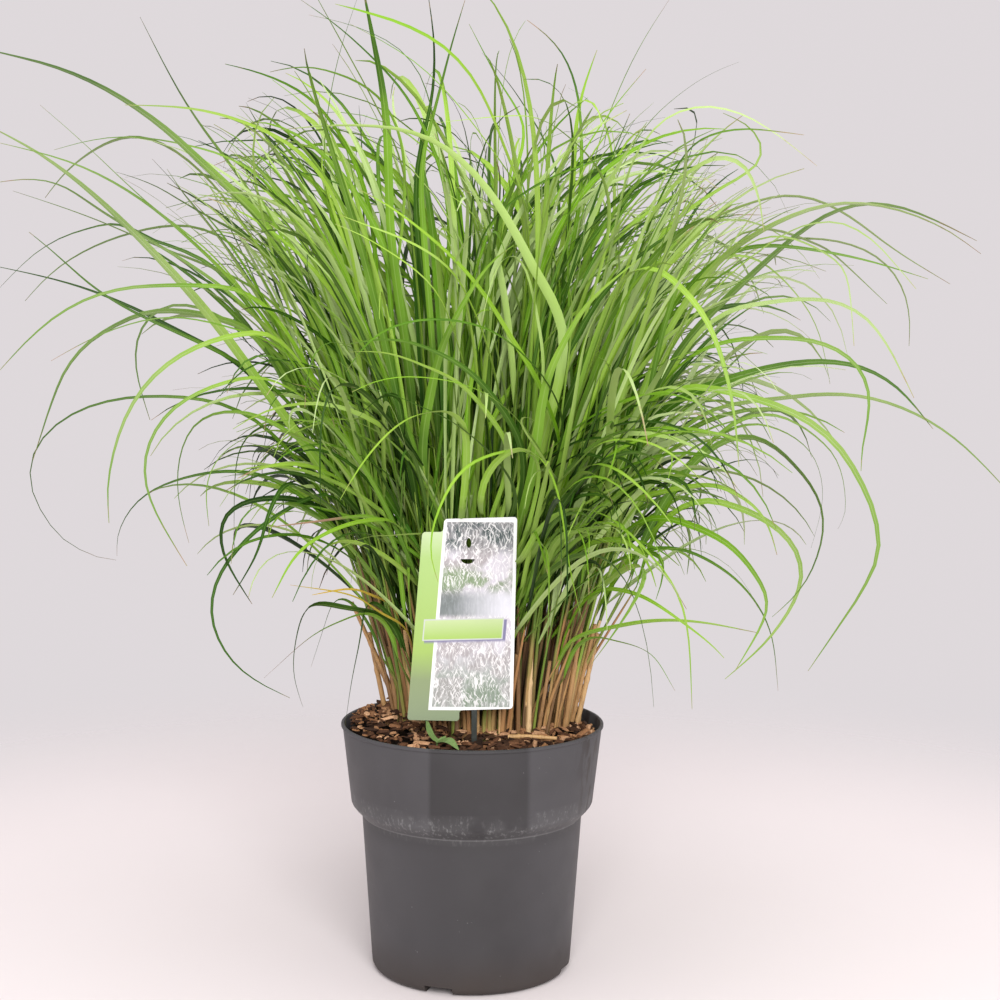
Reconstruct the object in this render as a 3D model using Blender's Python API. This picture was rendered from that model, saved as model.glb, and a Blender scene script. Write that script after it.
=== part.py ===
"""Potted miscanthus grass clump: nursery pot, growing medium, shoots, old canes and a label.

Metres, +Z up. The origin is the middle of the pot's flat base, and the label faces -Y.
Every sub-part is one closed solid in its own object.
"""

import math
import random

import bmesh
import bpy
from mathutils import Matrix, Vector
from mathutils.bvhtree import BVHTree

SEED = 13
GAP = 0.0003  # left between solids that touch

# Pot, a collared container of about 11 litres
RIM_RADIUS = 0.1460
POT_HEIGHT = 0.2765
COLLAR_TOP_RADIUS = 0.1442
COLLAR_FOOT_RADIUS = 0.1345
COLLAR_FOOT_HEIGHT = 0.1825
BODY_TOP_RADIUS = 0.1229
BODY_TOP_HEIGHT = 0.1705
BASE_RADIUS = 0.1115
BASE_ROUNDING = 0.0090
WALL = 0.0022
LIP_HEIGHT = 0.0042
FLOOR = 0.0030
RAISED_FLOOR_RADIUS = 0.0710  # the floor rises outside this, over the drainage channels
RAISED_FLOOR = 0.0120
POT_SIDES = 34

CHANNELS = 4
FIRST_CHANNEL_ANGLE = math.radians(-107.8)
CHANNEL_WIDTH = 0.0310
CHANNEL_ROOF_WIDTH = 0.0240
CHANNEL_HEIGHT = 0.0088
CHANNEL_INNER_RADIUS = 0.0760
DRAIN_RADIUS = 0.0900
DRAIN_SIZE = (0.0080, 0.0160)

# Growing medium
SOIL_EDGE_HEIGHT = 0.2625
SOIL_MOUND = 0.0085  # rise of the middle above the edge
SOIL_TILT = 0.0030  # rise of the back left above the middle, and fall of the front right
SOIL_LUMP = 0.0014
SOIL_SIDES = POT_SIDES

# Crown, the patch of soil that the shoots stand in
CROWN_CENTRE = (0.010, 0.034)
CROWN_RADII = (0.106, 0.078)
CROWN_FILL = 0.90  # share of the crown's radii that the shoots' spots reach
ROOTED_DEPTH = 0.020
SPARE_SPOTS = 8
POCKET_TOP = 0.293  # height up to which a stem stands straight, in its pocket
CUTTER_TOP = 0.308

# Shoots
CULM_HALF = 0.0031
BLADE_HALF_WIDTH = (0.0042, 0.0066)
BLADE_HALF_THICKNESS = 0.0006
TIP_HALF_WIDTH = 0.0008
SHEATH_HEIGHT = (0.20, 0.30)  # above the soil, where the sheaths end and the blade opens
BLADE_SEGMENTS = 5
COURSE_STEPS = 60  # along a whole shoot, before it is divided into culm and blade
LAST_OPENING = 45  # the step by which its blade has opened
CULM_STEPS = 40
CULM_LEAN = 0.30  # share of the way to the first traced point, where the culm leaves upright
SIDE_LEAVES = 2
SIDE_LEAF_STEPS = (30, 16)  # where they leave the culm
SIDE_LEAF_START = math.radians(24)  # from upright
SIDE_LEAF_LENGTH = (0.48, 0.68)
SIDE_LEAF_DROOPS = ((70, 118), (105, 150))  # degrees that each bends over from its start to its tip
SIDE_LEAF_SEGMENTS = 4
COLLAR_LENGTH = 0.009  # of the stretch of culm that a side leaf grows out of
COLLAR_SHARES = (0.88, 0.95)  # of the culm's half width, at those steps
LEAF_LEAD = (0.030, 0.004)  # along and out, to where a side leaf is first a blade
CLEARANCE = 0.0002  # beyond GAP, between leaves
LEAF_SPACING = 0.016  # least space between leaves of one shoot, past their sheaths
SHEATHED_STEPS = 8
MOST_NUDGES = 400
NUDGES_PER_SPOT = 12
SUITED_SPOTS = 8
MOST_REACH = 0.58  # of a side leaf from the pot's axis
LEAST_HEIGHT = 0.10
GOLDEN_ANGLE = math.radians(137.5)

# Cut canes of last year
CANE_RADIUS = 0.0030
CANE_SIDES = 6
CANE_JOINT = (0.53, 1.20)  # share of the height and of the radius, at the swollen joint
CANE_TOP = 0.80  # share of the radius, at the cut end
LOOSE_CANE_MIDDLE = Vector((0.066, -0.060, 0.0))
LOOSE_CANE_HALF = Vector((0.026, -0.004, 0.0))
LOOSE_CANE_RADIUS = 0.0026
# angle round the crown, share of its radius, height above the soil, outward lean
OLD_CANES = (
    (178, 0.98, 0.100, 0.32),
    (196, 0.90, 0.088, 0.20),
    (222, 0.93, 0.112, 0.16),
    (255, 0.95, 0.082, 0.05),
    (300, 0.97, 0.096, 0.08),
    (332, 0.96, 0.118, 0.24),
    (352, 0.98, 0.108, 0.34),
    (18, 0.96, 0.090, 0.28),
)

# Label, as seen from the front: x right and z up from the stake's foot on the soil
LABEL_OUTLINE = (
    (-0.0718, 0.0280), (-0.0162, 0.0273), (-0.0162, 0.0390), (0.0409, 0.0410),
    (0.0441, 0.2470), (-0.0331, 0.2443), (-0.0341, 0.2305), (-0.0563, 0.2303),
)
LABEL_CORNER = 0.0035
LABEL_THICKNESS = 0.0008
LABEL_Y = -0.0822
STAKE_X = 0.003
STAKE_WIDTH = 0.0060
STAKE_THICKNESS = 0.0014
STAKE_TOP = 0.478
STAKE_DEPTH = 0.060

# Seedling: where it stands, and its parts from there, z from the soil
SEEDLING_FOOT = (-0.036, -0.092)
SEEDLING_DEPTH = 0.008
SEEDLING_HALF = 0.0012
SEEDLING_STEM = (Vector((0.0, 0.0, 0.006)), Vector((0.001, -0.001, 0.016)))
SEEDLING_LEAF = (Vector((0.010, -0.006, 0.021)), Vector((0.026, -0.012, 0.013)))
SEEDLING_WIDTHS = (0.0038, 0.0062, 0.0048, 0.0010)
SEEDLING_THICKNESS = 0.0006
SEEDLING_ACROSS = Vector((-0.4, -0.9, 0.0))
SEEDLING_FACING = Vector((0.6, -0.8, 0.0))

# How the photograph was taken, for reading the courses of leaves off it
PHOTO_MIDDLE = 500
FOCAL_PIXELS = 1776
EYE = Vector((0.029, -1.95, 0.708))
PITCH = math.radians(5.4)
ROLL = math.radians(0.4)
FIRST_SHARE = 0.4  # of the tip's depth, where a leaf's trace starts
FOOT_SHARES = (0.42, 0.28)  # of the trace's start across, and of the tip's depth, at the foot
DEPTH_POWER = 1.4  # how late along its trace a leaf comes forward or goes back

# Each row is one shoot: how far behind the pot's axis its top leaf ends (in front of it if
# negative), and pixels of the photograph along that leaf, the tip last.
TRACED_LEAVES = (
    # front
    (-0.36, ((625, 271), (690, 297), (733, 400), (739, 467))),
    (-0.33, ((542, 526), (596, 509), (660, 566), (692, 709))),
    (-0.30, ((480, 490), (518, 446), (553, 474), (582, 619))),
    (-0.30, ((540, 460), (487, 456), (433, 509), (438, 582))),
    (-0.36, ((466, 427), (423, 413), (360, 466), (340, 500))),
    # right side, low and forward
    (-0.25, ((690, 320), (784, 233), (855, 221), (916, 289))),
    (-0.15, ((700, 330), (775, 303), (873, 320), (914, 398))),
    (0.18, ((690, 420), (775, 400), (895, 404), (989, 470), (1018, 502))),
    (-0.20, ((650, 395), (750, 398), (844, 449), (881, 530), (808, 671))),
    (-0.05, ((683, 504), (739, 508), (784, 532), (805, 575), (725, 679))),
    # left side, from the top down
    (0.12, ((301, 290), (250, 192), (183, 100), (140, 17))),
    (-0.05, ((277, 241), (196, 154), (120, 97), (-30, 46))),
    (-0.28, ((234, 279), (156, 212), (74, 134), (40, 105))),
    (-0.12, ((250, 370), (194, 297), (89, 190), (-20, 122))),
    (0.28, ((223, 272), (125, 222), (45, 244), (-8, 296))),
    (0.18, ((252, 375), (196, 342), (96, 292), (-25, 262))),
    (-0.22, ((268, 306), (190, 287), (96, 293), (0, 370))),
    (-0.08, ((257, 335), (143, 311), (62, 373), (33, 460))),
    (0.05, ((312, 480), (237, 407), (94, 403), (26, 484), (116, 560))),
    (-0.30, ((286, 344), (201, 343), (125, 413), (109, 523))),
    (-0.12, ((335, 492), (268, 520), (223, 566), (209, 616), (290, 698))),
    # top
    (-0.10, ((406, 183), (380, 114), (341, 42), (310, -15))),
    (0.02, ((391, 245), (386, 112), (373, 40), (363, -12))),
    (0.10, ((326, 201), (327, 116), (341, 45), (358, -4))),
    (0.16, ((415, 196), (431, 112), (434, 33), (428, -6))),
    (-0.02, ((420, 179), (440, 89), (451, 45), (465, 0))),
    (-0.18, ((529, 223), (502, 143), (460, 58), (415, 27), (335, 4))),
    (-0.20, ((567, 341), (525, 248), (462, 158), (402, 127), (279, 130))),
    (0.28, ((560, 201), (540, 134), (509, 83), (482, 53))),
    (0.10, ((571, 201), (574, 143), (580, 98), (597, 50))),
    # right side, high
    (0.15, ((580, 230), (598, 145), (625, 76), (669, 0))),
    (0.30, ((600, 220), (638, 138), (701, 78), (739, 62))),
    (-0.10, ((615, 237), (627, 170), (685, 103), (763, 123), (817, 166))),
    (-0.30, ((638, 243), (672, 190), (723, 152), (760, 190), (764, 232))),
    (0.05, ((672, 362), (762, 266), (869, 200), (977, 241))),
    (0.30, ((735, 262), (793, 239), (891, 266), (909, 346))),
)

# Colour, roughness and metallic value of each finish
FINISHES = {
    "pot_plastic": ((0.100, 0.098, 0.105), 0.48, 0.0),
    "growing_medium": ((0.060, 0.034, 0.020), 0.95, 0.0),
    "green_leaf": ((0.130, 0.270, 0.030), 0.50, 0.0),
    "dry_cane": ((0.420, 0.260, 0.110), 0.60, 0.0),
    "label_print": ((0.330, 0.470, 0.260), 0.30, 0.0),
    "label_stake": ((0.045, 0.060, 0.050), 0.45, 0.0),
    "seedling_leaf": ((0.110, 0.220, 0.040), 0.50, 0.0),
}


def clear_scene():
    """Removes every object that is in the file."""
    for thing in list(bpy.data.objects):
        bpy.data.objects.remove(thing, do_unlink=True)


def finish(name):
    """The material of that name, made on its first use."""
    made = bpy.data.materials.get(name)
    if made:
        return made
    colour, roughness, metallic = FINISHES[name]
    made = bpy.data.materials.new(name)
    made.use_nodes = True
    shader = made.node_tree.nodes["Principled BSDF"]
    shader.inputs["Base Color"].default_value = (*colour, 1.0)
    shader.inputs["Roughness"].default_value = roughness
    shader.inputs["Metallic"].default_value = metallic
    return made


def add_object(name, shape, material):
    """Turns a bmesh into a named object with smooth sides and sharp corners."""
    bmesh.ops.recalc_face_normals(shape, faces=shape.faces)
    mesh = bpy.data.meshes.new(name)
    shape.to_mesh(mesh)
    shape.free()
    mesh.shade_smooth()
    mesh.set_sharp_from_angle(angle=math.radians(40))
    made = bpy.data.objects.new(name, mesh)
    bpy.context.scene.collection.objects.link(made)
    if material:
        mesh.materials.append(finish(material))
    return made


def add_cutter(target, shape, name):
    """Cuts a shape out of an object. The cutter stays in the file as a wire guide."""
    cutter = add_object(name, shape, None)
    cutter.hide_render = True
    cutter.display_type = "WIRE"
    cut = target.modifiers.new(name, "BOOLEAN")
    cut.operation = "DIFFERENCE"
    cut.object = cutter


def turned(profile, sides):
    """A solid of revolution about Z from a profile of (radius, height) pairs."""
    shape = bmesh.new()
    points = [shape.verts.new((radius, 0.0, height)) for radius, height in profile]
    edges = [shape.edges.new(pair) for pair in zip(points, points[1:])]
    bmesh.ops.spin(
        shape, geom=points + edges, axis=(0, 0, 1), cent=(0, 0, 0),
        angle=math.tau, steps=sides, use_merge=True,
    )
    bmesh.ops.remove_doubles(shape, verts=shape.verts, dist=0.00001)
    return shape


def collar_inner_radius(height):
    """Radius of the inside of the pot's collar at a height."""
    share = (height - COLLAR_FOOT_HEIGHT) / (POT_HEIGHT - LIP_HEIGHT - COLLAR_FOOT_HEIGHT)
    return COLLAR_FOOT_RADIUS + share * (COLLAR_TOP_RADIUS - COLLAR_FOOT_RADIUS) - WALL


def add_pot():
    """The pot: floor, tapered body, stepped collar and rolled lip, with drainage."""
    lip_foot = POT_HEIGHT - LIP_HEIGHT
    edge = BASE_ROUNDING
    outside = [
        (0.0, 0.0),
        (BASE_RADIUS - edge, 0.0),
        (BASE_RADIUS - 0.30 * edge, 0.30 * edge),
        (BASE_RADIUS, edge),
        (BODY_TOP_RADIUS, BODY_TOP_HEIGHT),
        (COLLAR_FOOT_RADIUS, COLLAR_FOOT_HEIGHT),
        (COLLAR_TOP_RADIUS, lip_foot),
        (RIM_RADIUS, lip_foot + 0.0010),
        (RIM_RADIUS, POT_HEIGHT - 0.0010),
        (RIM_RADIUS - 0.0010, POT_HEIGHT),
        (collar_inner_radius(POT_HEIGHT), POT_HEIGHT),
    ]
    inside = [
        (COLLAR_FOOT_RADIUS - WALL, COLLAR_FOOT_HEIGHT + 0.0010),
        (BODY_TOP_RADIUS - WALL, BODY_TOP_HEIGHT + 0.0010),
        (BASE_RADIUS - WALL + 0.0004, RAISED_FLOOR + 0.0020),
        (BASE_RADIUS - WALL - 0.0030, RAISED_FLOOR),
        (RAISED_FLOOR_RADIUS, RAISED_FLOOR),
        (RAISED_FLOOR_RADIUS - 0.0040, FLOOR),
        (0.0, FLOOR),
    ]
    pot = add_object("pot", turned(outside + inside, POT_SIDES), "pot_plastic")
    channels = bmesh.new()
    drains = bmesh.new()
    for number in range(CHANNELS):
        turn = Matrix.Rotation(FIRST_CHANNEL_ANGLE + math.tau * number / CHANNELS, 4, "Z")
        add_channel(channels, turn)
        place = turn @ Matrix.Translation((DRAIN_RADIUS, 0, RAISED_FLOOR))
        size = Matrix.Diagonal((*DRAIN_SIZE, 0.02, 1.0))
        bmesh.ops.create_cube(drains, size=1.0, matrix=place @ size)
    add_cutter(pot, channels, "drainage_channel_cutter")
    add_cutter(pot, drains, "drain_hole_cutter")


def add_channel(shape, turn):
    """One drainage channel under the base: a bar along X, narrower at its roof."""
    start, end = CHANNEL_INNER_RADIUS, BASE_RADIUS + 0.02
    corners = []
    for x in (start, end):
        corners += [
            (x, -CHANNEL_WIDTH / 2, -0.005), (x, CHANNEL_WIDTH / 2, -0.005),
            (x, CHANNEL_ROOF_WIDTH / 2, CHANNEL_HEIGHT), (x, -CHANNEL_ROOF_WIDTH / 2, CHANNEL_HEIGHT),
        ]
    points = [shape.verts.new(turn @ Vector(corner)) for corner in corners]
    near, far = points[:4], points[4:]
    shape.faces.new(list(reversed(near)))
    shape.faces.new(far)
    for a in range(4):
        b = (a + 1) % 4
        shape.faces.new((near[a], near[b], far[b], far[a]))


def soil_height(x, y):
    """Height of the growing medium's surface: a low mound, higher at the back left."""
    edge = collar_inner_radius(SOIL_EDGE_HEIGHT)
    share = min(1.0, math.hypot(x, y) / edge)
    rise = SOIL_MOUND * (1 - share**2)
    tilt = SOIL_TILT * (y - x) / edge * (1 - share**4)
    return SOIL_EDGE_HEIGHT + rise + tilt


def add_growing_medium():
    """The growing medium, a plug that fills the pot, with a pocket for all that stands in it."""
    edge = collar_inner_radius(SOIL_EDGE_HEIGHT) - GAP
    floor = [
        (0.0, FLOOR + GAP),
        (RAISED_FLOOR_RADIUS - 0.0050, FLOOR + GAP),
        (RAISED_FLOOR_RADIUS - 0.0008, RAISED_FLOOR + GAP),
        (BASE_RADIUS - WALL - 0.0040, RAISED_FLOOR + GAP),
        (BASE_RADIUS - WALL - GAP, RAISED_FLOOR + 0.0030),
        (BODY_TOP_RADIUS - WALL - 0.0006, BODY_TOP_HEIGHT + 0.0015),
        (COLLAR_FOOT_RADIUS - WALL - 0.0006, COLLAR_FOOT_HEIGHT + 0.0015),
        (edge, SOIL_EDGE_HEIGHT),
    ]
    top = [(edge * share, SOIL_EDGE_HEIGHT) for share in (0.80, 0.45, 0.0)]
    shape = turned(floor + top, SOIL_SIDES)
    chance = random.Random(SEED)
    for point in shape.verts:
        inner = math.hypot(point.co.x, point.co.y) < edge - 0.001
        if point.co.z > SOIL_EDGE_HEIGHT - 0.0001 and inner:
            lump = chance.uniform(-SOIL_LUMP, SOIL_LUMP)
            point.co.z = soil_height(point.co.x, point.co.y) + lump
    return add_object("growing_medium", shape, "growing_medium")


def photo_point(across, down, depth):
    """The place at a distance behind the pot's axis that shows at a pixel of the photograph."""
    a = (across - PHOTO_MIDDLE) / FOCAL_PIXELS
    b = (PHOTO_MIDDLE - down) / FOCAL_PIXELS
    right = a * math.cos(ROLL) - b * math.sin(ROLL)
    up = a * math.sin(ROLL) + b * math.cos(ROLL)
    ray = Vector((
        right,
        math.cos(PITCH) + up * math.sin(PITCH),
        up * math.cos(PITCH) - math.sin(PITCH),
    ))
    return EYE + ray * ((depth - EYE.y) / ray.y)


def smooth_course(points, steps):
    """Evenly spread points on a Catmull-Rom curve through the given points."""
    ends = [2 * points[0] - points[1]] + list(points) + [2 * points[-1] - points[-2]]
    fine = []
    for p0, p1, p2, p3 in zip(ends, ends[1:], ends[2:], ends[3:]):
        for part in range(12):
            t = part / 12
            fine.append(0.5 * (
                2 * p1 + (p2 - p0) * t + (2 * p0 - 5 * p1 + 4 * p2 - p3) * t**2
                + (3 * p1 - p0 - 3 * p2 + p3) * t**3
            ))
    fine.append(points[-1].copy())
    lengths = [0.0]
    for a, b in zip(fine, fine[1:]):
        lengths.append(lengths[-1] + (b - a).length)
    even, at = [], 0
    for step in range(steps + 1):
        wanted = lengths[-1] * step / steps
        while at < len(lengths) - 2 and lengths[at + 1] < wanted:
            at += 1
        share = (wanted - lengths[at]) / max(lengths[at + 1] - lengths[at], 1e-9)
        even.append(fine[at].lerp(fine[at + 1], share))
    return even


def section(centre, along, side, half_width, half_thickness):
    """Four corners of a flat section across a course, in order round it."""
    across = (side - along * side.dot(along)).normalized()
    face = along.cross(across)
    w, t = across * half_width, face * half_thickness
    return [centre - w - t, centre + w - t, centre + w + t, centre - w + t]


def directions(course):
    """The course's direction at each of its points."""
    found = []
    for place in range(len(course)):
        before, after = course[max(place - 1, 0)], course[min(place + 1, len(course) - 1)]
        found.append((after - before).normalized())
    return found


def extrude_sections(shape, face, sections):
    """Extrudes a four-sided face through sections, and returns the corners of each ring."""
    corners = list(face.verts)
    first = min(range(4), key=lambda k: sum(
        (corners[(k + j) % 4].co - sections[0][j]).length for j in range(4)))
    rings = [[corners[(first + j) % 4] for j in range(4)]]
    for places in sections:
        face = bmesh.ops.extrude_discrete_faces(shape, faces=[face])["faces"][0]
        corners = list(face.verts)
        ring = [corners[(first + j) % 4] for j in range(4)]
        for corner, place in zip(ring, places):
            corner.co = place
        rings.append(ring)
    return rings


def start_column(shape, foot, top):
    """A short four-sided column, with its two rings and the top face that grows on."""
    low = [shape.verts.new(place) for place in foot]
    high = [shape.verts.new(place) for place in top]
    shape.faces.new(list(reversed(low)))
    for a in range(4):
        b = (a + 1) % 4
        shape.faces.new((low[a], low[b], high[b], high[a]))
    return low, shape.faces.new(high)


def split_flats(shape, rings):
    """Splits the two broad faces of each stretch along like diagonals, so that they stay apart."""
    for near, far in zip(rings, rings[1:]):
        for left, right in ((0, 1), (3, 2)):
            flat = shape.faces.get((near[left], near[right], far[right], far[left]))
            if flat:
                bmesh.utils.face_split(flat, near[left], far[right])


def blade_sections(course, side, half_width, twist, extra):
    """Sections of a blade that opens to its full width, twists, and tapers to a fine tip."""
    sections = []
    for place, (centre, along) in enumerate(zip(course, directions(course))):
        share = place / (len(course) - 1)
        opened = min(1.0, share / 0.2 + 0.55)
        taper = min(1.0, 2.1 * (1 - share) ** 0.8)
        width = TIP_HALF_WIDTH + (half_width - TIP_HALF_WIDTH) * min(opened, taper)
        turned_side = Matrix.Rotation(twist * share, 3, along) @ side
        thin = BLADE_HALF_THICKNESS * (1 - 0.45 * share)
        sections.append(section(centre, along, turned_side, width + extra, thin + extra))
    return sections


class Shoot:
    """One shoot: a culm in its sheaths that runs out into its top leaf, and its side leaves."""

    def __init__(self, number, spot, tip_depth, pixels, chance):
        self.spot = spot
        self.number = number
        self.pixels = pixels
        self.tip_depth = tip_depth
        self.sheath = chance.uniform(*SHEATH_HEIGHT)
        self.half_width = chance.uniform(*BLADE_HALF_WIDTH)
        self.twist = chance.uniform(-0.9, 0.9)
        self.roll = chance.uniform(0.35, 1.0) * chance.choice((-1, 1))
        self.bend, self.bulge, self.first_depth = 0.75, 0.0, tip_depth
        self.leaf_turns = [
            GOLDEN_ANGLE * (SIDE_LEAVES * number + leaf) + chance.uniform(-0.3, 0.3)
            for leaf in range(SIDE_LEAVES)
        ]
        self.leaf_lengths = [chance.uniform(*SIDE_LEAF_LENGTH) for _ in range(SIDE_LEAVES)]
        self.leaf_droops = [math.radians(chance.uniform(*degrees)) for degrees in SIDE_LEAF_DROOPS]

    def nudge(self, leaf, chance):
        """Moves one leaf a little, the top leaf if leaf is 0, where it would touch a solid."""
        if leaf == 0:
            self.tip_depth = self.first_depth + chance.uniform(-0.12, 0.12)
            self.twist = chance.uniform(-0.9, 0.9)
            self.bend = chance.uniform(0.40, 1.10)
            self.bulge = chance.uniform(-0.07, 0.07)
            self.sheath = chance.uniform(*SHEATH_HEIGHT)
            return
        self.leaf_turns[leaf - 1] += chance.uniform(-0.5, 0.5)
        self.leaf_lengths[leaf - 1] = chance.uniform(*SIDE_LEAF_LENGTH)
        self.leaf_droops[leaf - 1] = math.radians(chance.uniform(*SIDE_LEAF_DROOPS[leaf - 1]))

    def courses(self):
        """Courses of the culm, the top leaf, and each side leaf."""
        x, y = self.spot
        soil = soil_height(x, y)
        straight = Vector((x, y, POCKET_TOP))
        count = len(self.pixels)
        traced = []
        for place, pixel in enumerate(self.pixels):
            share = (place + 1) / count
            depth = y + (self.tip_depth - y) * share**DEPTH_POWER
            depth += self.bulge * math.sin(math.pi * share)
            traced.append(photo_point(*pixel, depth))
        lean = (traced[0] - straight) * CULM_LEAN
        lifted = straight + Vector((lean.x * self.bend, lean.y * self.bend, lean.z))
        whole = smooth_course([straight, lifted] + traced, COURSE_STEPS)
        low = [k for k, point in enumerate(whole[:LAST_OPENING]) if point.z < soil + self.sheath]
        opens = max(low)
        blade = smooth_course(whole[opens::4] + [whole[-1]], BLADE_SEGMENTS + count - 3)
        culm = smooth_course([straight, whole[opens // 2], whole[opens]], CULM_STEPS)
        leaves = []
        for number, turn in enumerate(self.leaf_turns):
            leaves.append(self.side_course(culm[SIDE_LEAF_STEPS[number]], turn, number))
        return culm, blade, leaves

    def side_course(self, start, turn, number):
        """A leaf that leaves its sheath steeply, and arches over to hang by its tip."""
        outward = Vector((math.cos(turn), math.sin(turn), 0.0))
        steps = 24
        length = self.leaf_lengths[number] / steps
        points, at = [start.copy()], start.copy()
        for step in range(steps):
            share = (step + 0.5) / steps
            angle = SIDE_LEAF_START + self.leaf_droops[number] * share**1.5
            at = at + (outward * math.sin(angle) + Vector((0, 0, math.cos(angle)))) * length
            points.append(at.copy())
        return smooth_course(points[::4], SIDE_LEAF_SEGMENTS)

    def leaves_apart(self, count):
        """Whether the top leaf and the first side leaves keep clear past their sheaths."""
        culm, blade, leaves = self.courses()
        runs = [smooth_course(run, CULM_STEPS) for run in [culm + blade[1:]] + leaves[:count]]
        for number, run in enumerate(runs):
            for other in runs[number + 1:]:
                for point in other[SHEATHED_STEPS:]:
                    if min((point - near).length for near in run) < LEAF_SPACING:
                        return False
        reach = max((math.hypot(p.x, p.y) for run in runs[1:] for p in run), default=0.0)
        return reach < MOST_REACH and min(p.z for run in runs for p in run) > LEAST_HEIGHT

    def facing(self):
        """The level direction across the culm, along which the top leaf is widest."""
        _, blade, _ = self.courses()
        reach = blade[-1] - blade[0]
        side = Vector((-reach.y, reach.x, 0.0))
        side = side.normalized() if side.length > 0.01 else Vector((1, 0, 0))
        return Matrix.Rotation(self.roll, 3, "Z") @ side

    def build(self, count=SIDE_LEAVES, extra=0.0):
        """The shoot with its first side leaves as one closed shape, grown by extra all round."""
        culm, blade, leaves = self.courses()
        side = self.facing()
        half = CULM_HALF + extra
        x, y = self.spot
        foot = Vector((x, y, soil_height(x, y) - ROOTED_DEPTH - extra))
        up = Vector((0, 0, 1))
        sections, joints = [], []
        for place, narrowed in reversed(list(zip(SIDE_LEAF_STEPS, COLLAR_SHARES))):
            along = (culm[place + 1] - culm[place - 1]).normalized()
            reach = along * COLLAR_LENGTH / 2
            joints.append(len(sections))
            slim = half * narrowed
            sections.append(section(culm[place] - reach, along, side, slim, slim))
            sections.append(section(culm[place] + reach, along, side, slim, slim))
        shape = bmesh.new()
        top_centre = Vector((x, y, POCKET_TOP))
        _, top = start_column(
            shape, section(foot, up, side, half, half), section(top_centre, up, side, half, half))
        sections += blade_sections(blade, side, self.half_width, self.twist, extra)
        rings = extrude_sections(shape, top, sections)
        for number, joint in list(enumerate(reversed(joints)))[:count]:
            self.add_side_leaf(shape, rings[joint + 1], rings[joint + 2], leaves[number], extra)
        split_flats(shape, rings)
        return shape

    def add_side_leaf(self, shape, low, high, course, extra):
        """Grows a side leaf out of the culm's face that looks most nearly its way."""
        outward = course[-1] - course[0]
        outward.z = 0.0
        outward.normalize()
        faces = []
        for a in range(4):
            b = (a + 1) % 4
            face = shape.faces.get((low[a], low[b], high[b], high[a]))
            if face:
                face.normal_update()
                faces.append(face)
        face = max(faces, key=lambda one: one.normal.dot(outward))
        side = Vector((0, 0, 1)).cross(outward)
        half_width = self.half_width * 0.92
        sections = blade_sections(course, side, half_width, self.twist * 0.8, extra)[1:]
        lead = face.calc_center_median()
        along = (course[1] - lead).normalized()
        near = lead + along * LEAF_LEAD[0] + outward * LEAF_LEAD[1]
        sections.insert(0, section(near, along, side, half_width * 0.75 + extra,
                                   BLADE_HALF_THICKNESS + extra))
        rings = extrude_sections(shape, face, sections)
        split_flats(shape, rings)


def crown_spots():
    """Places of the shoots in the crown, spread evenly as in a sunflower head."""
    count = len(TRACED_LEAVES) + SPARE_SPOTS
    spots = []
    for number in range(count):
        reach = math.sqrt((number + 0.5) / count) * CROWN_FILL
        turn = GOLDEN_ANGLE * number
        spots.append((
            CROWN_CENTRE[0] + CROWN_RADII[0] * reach * math.cos(turn),
            CROWN_CENTRE[1] + CROWN_RADII[1] * reach * math.sin(turn),
        ))
    return spots


def suited_spots(tip_depth, pixels, spots):
    """The free spots of the crown, the one that best suits a shoot's lean first."""
    inner = photo_point(*pixels[0], tip_depth * FIRST_SHARE)
    wanted = (inner.x * FOOT_SHARES[0], CROWN_CENTRE[1] + tip_depth * FOOT_SHARES[1])
    return sorted(spots, key=lambda one: math.dist(one, wanted))


def settle(shoot, spots, taken, chance):
    """Nudges a shoot's leaves, one after another, until each keeps clear of what stands."""
    for count in range(SIDE_LEAVES + 1):
        for trial_number in range(MOST_NUDGES):
            if count == 0:
                shoot.spot = spots[(trial_number // NUDGES_PER_SPOT) % len(spots)]
            if shoot.leaves_apart(count):
                trial = shoot.build(count, GAP + CLEARANCE)
                tree = BVHTree.FromBMesh(trial)
                trial.free()
                if not any(tree.overlap(other) for other in taken):
                    break
            shoot.nudge(count, chance)


def add_shoots(taken):
    """Adds the shoots one by one, each clear of all that stands already."""
    chance = random.Random(SEED)
    spots = crown_spots()
    grown = []
    for number, (tip_depth, pixels) in enumerate(TRACED_LEAVES):
        shoot = Shoot(number, spots[0], tip_depth, pixels, chance)
        settle(shoot, suited_spots(tip_depth, pixels, spots)[:SUITED_SPOTS], taken, chance)
        spots.remove(shoot.spot)
        grown.append(shoot)
        shape = shoot.build()
        taken.append(BVHTree.FromBMesh(shape))
        add_object(f"shoot_{shoot.number + 1:02d}", shape, "green_leaf")
    return grown


def prism(shape, centre, low, high, section_points):
    """Adds an upright prism to a shape, from section points about its centre."""
    x, y = centre
    foot = [shape.verts.new((x + px, y + py, low)) for px, py in section_points]
    top = [shape.verts.new((x + px, y + py, high)) for px, py in section_points]
    shape.faces.new(list(reversed(foot)))
    shape.faces.new(top)
    for a in range(len(foot)):
        b = (a + 1) % len(foot)
        shape.faces.new((foot[a], foot[b], top[b], top[a]))


def ring_points(radius, sides):
    """Points round a circle, for a prism's section."""
    return [
        (radius * math.cos(math.tau * k / sides), radius * math.sin(math.tau * k / sides))
        for k in range(sides)
    ]


def square_points(side, half):
    """Corners of a square that faces a level direction, for a prism's section."""
    corners = section(Vector(), Vector((0, 0, 1)), side, half, half)
    return [(corner.x, corner.y) for corner in corners]


def cane_foot(angle, share):
    """Where an old cane stands on the crown."""
    turn = math.radians(angle)
    return (
        CROWN_CENTRE[0] + CROWN_RADII[0] * share * math.cos(turn),
        CROWN_CENTRE[1] + CROWN_RADII[1] * share * math.sin(turn),
    )


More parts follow.
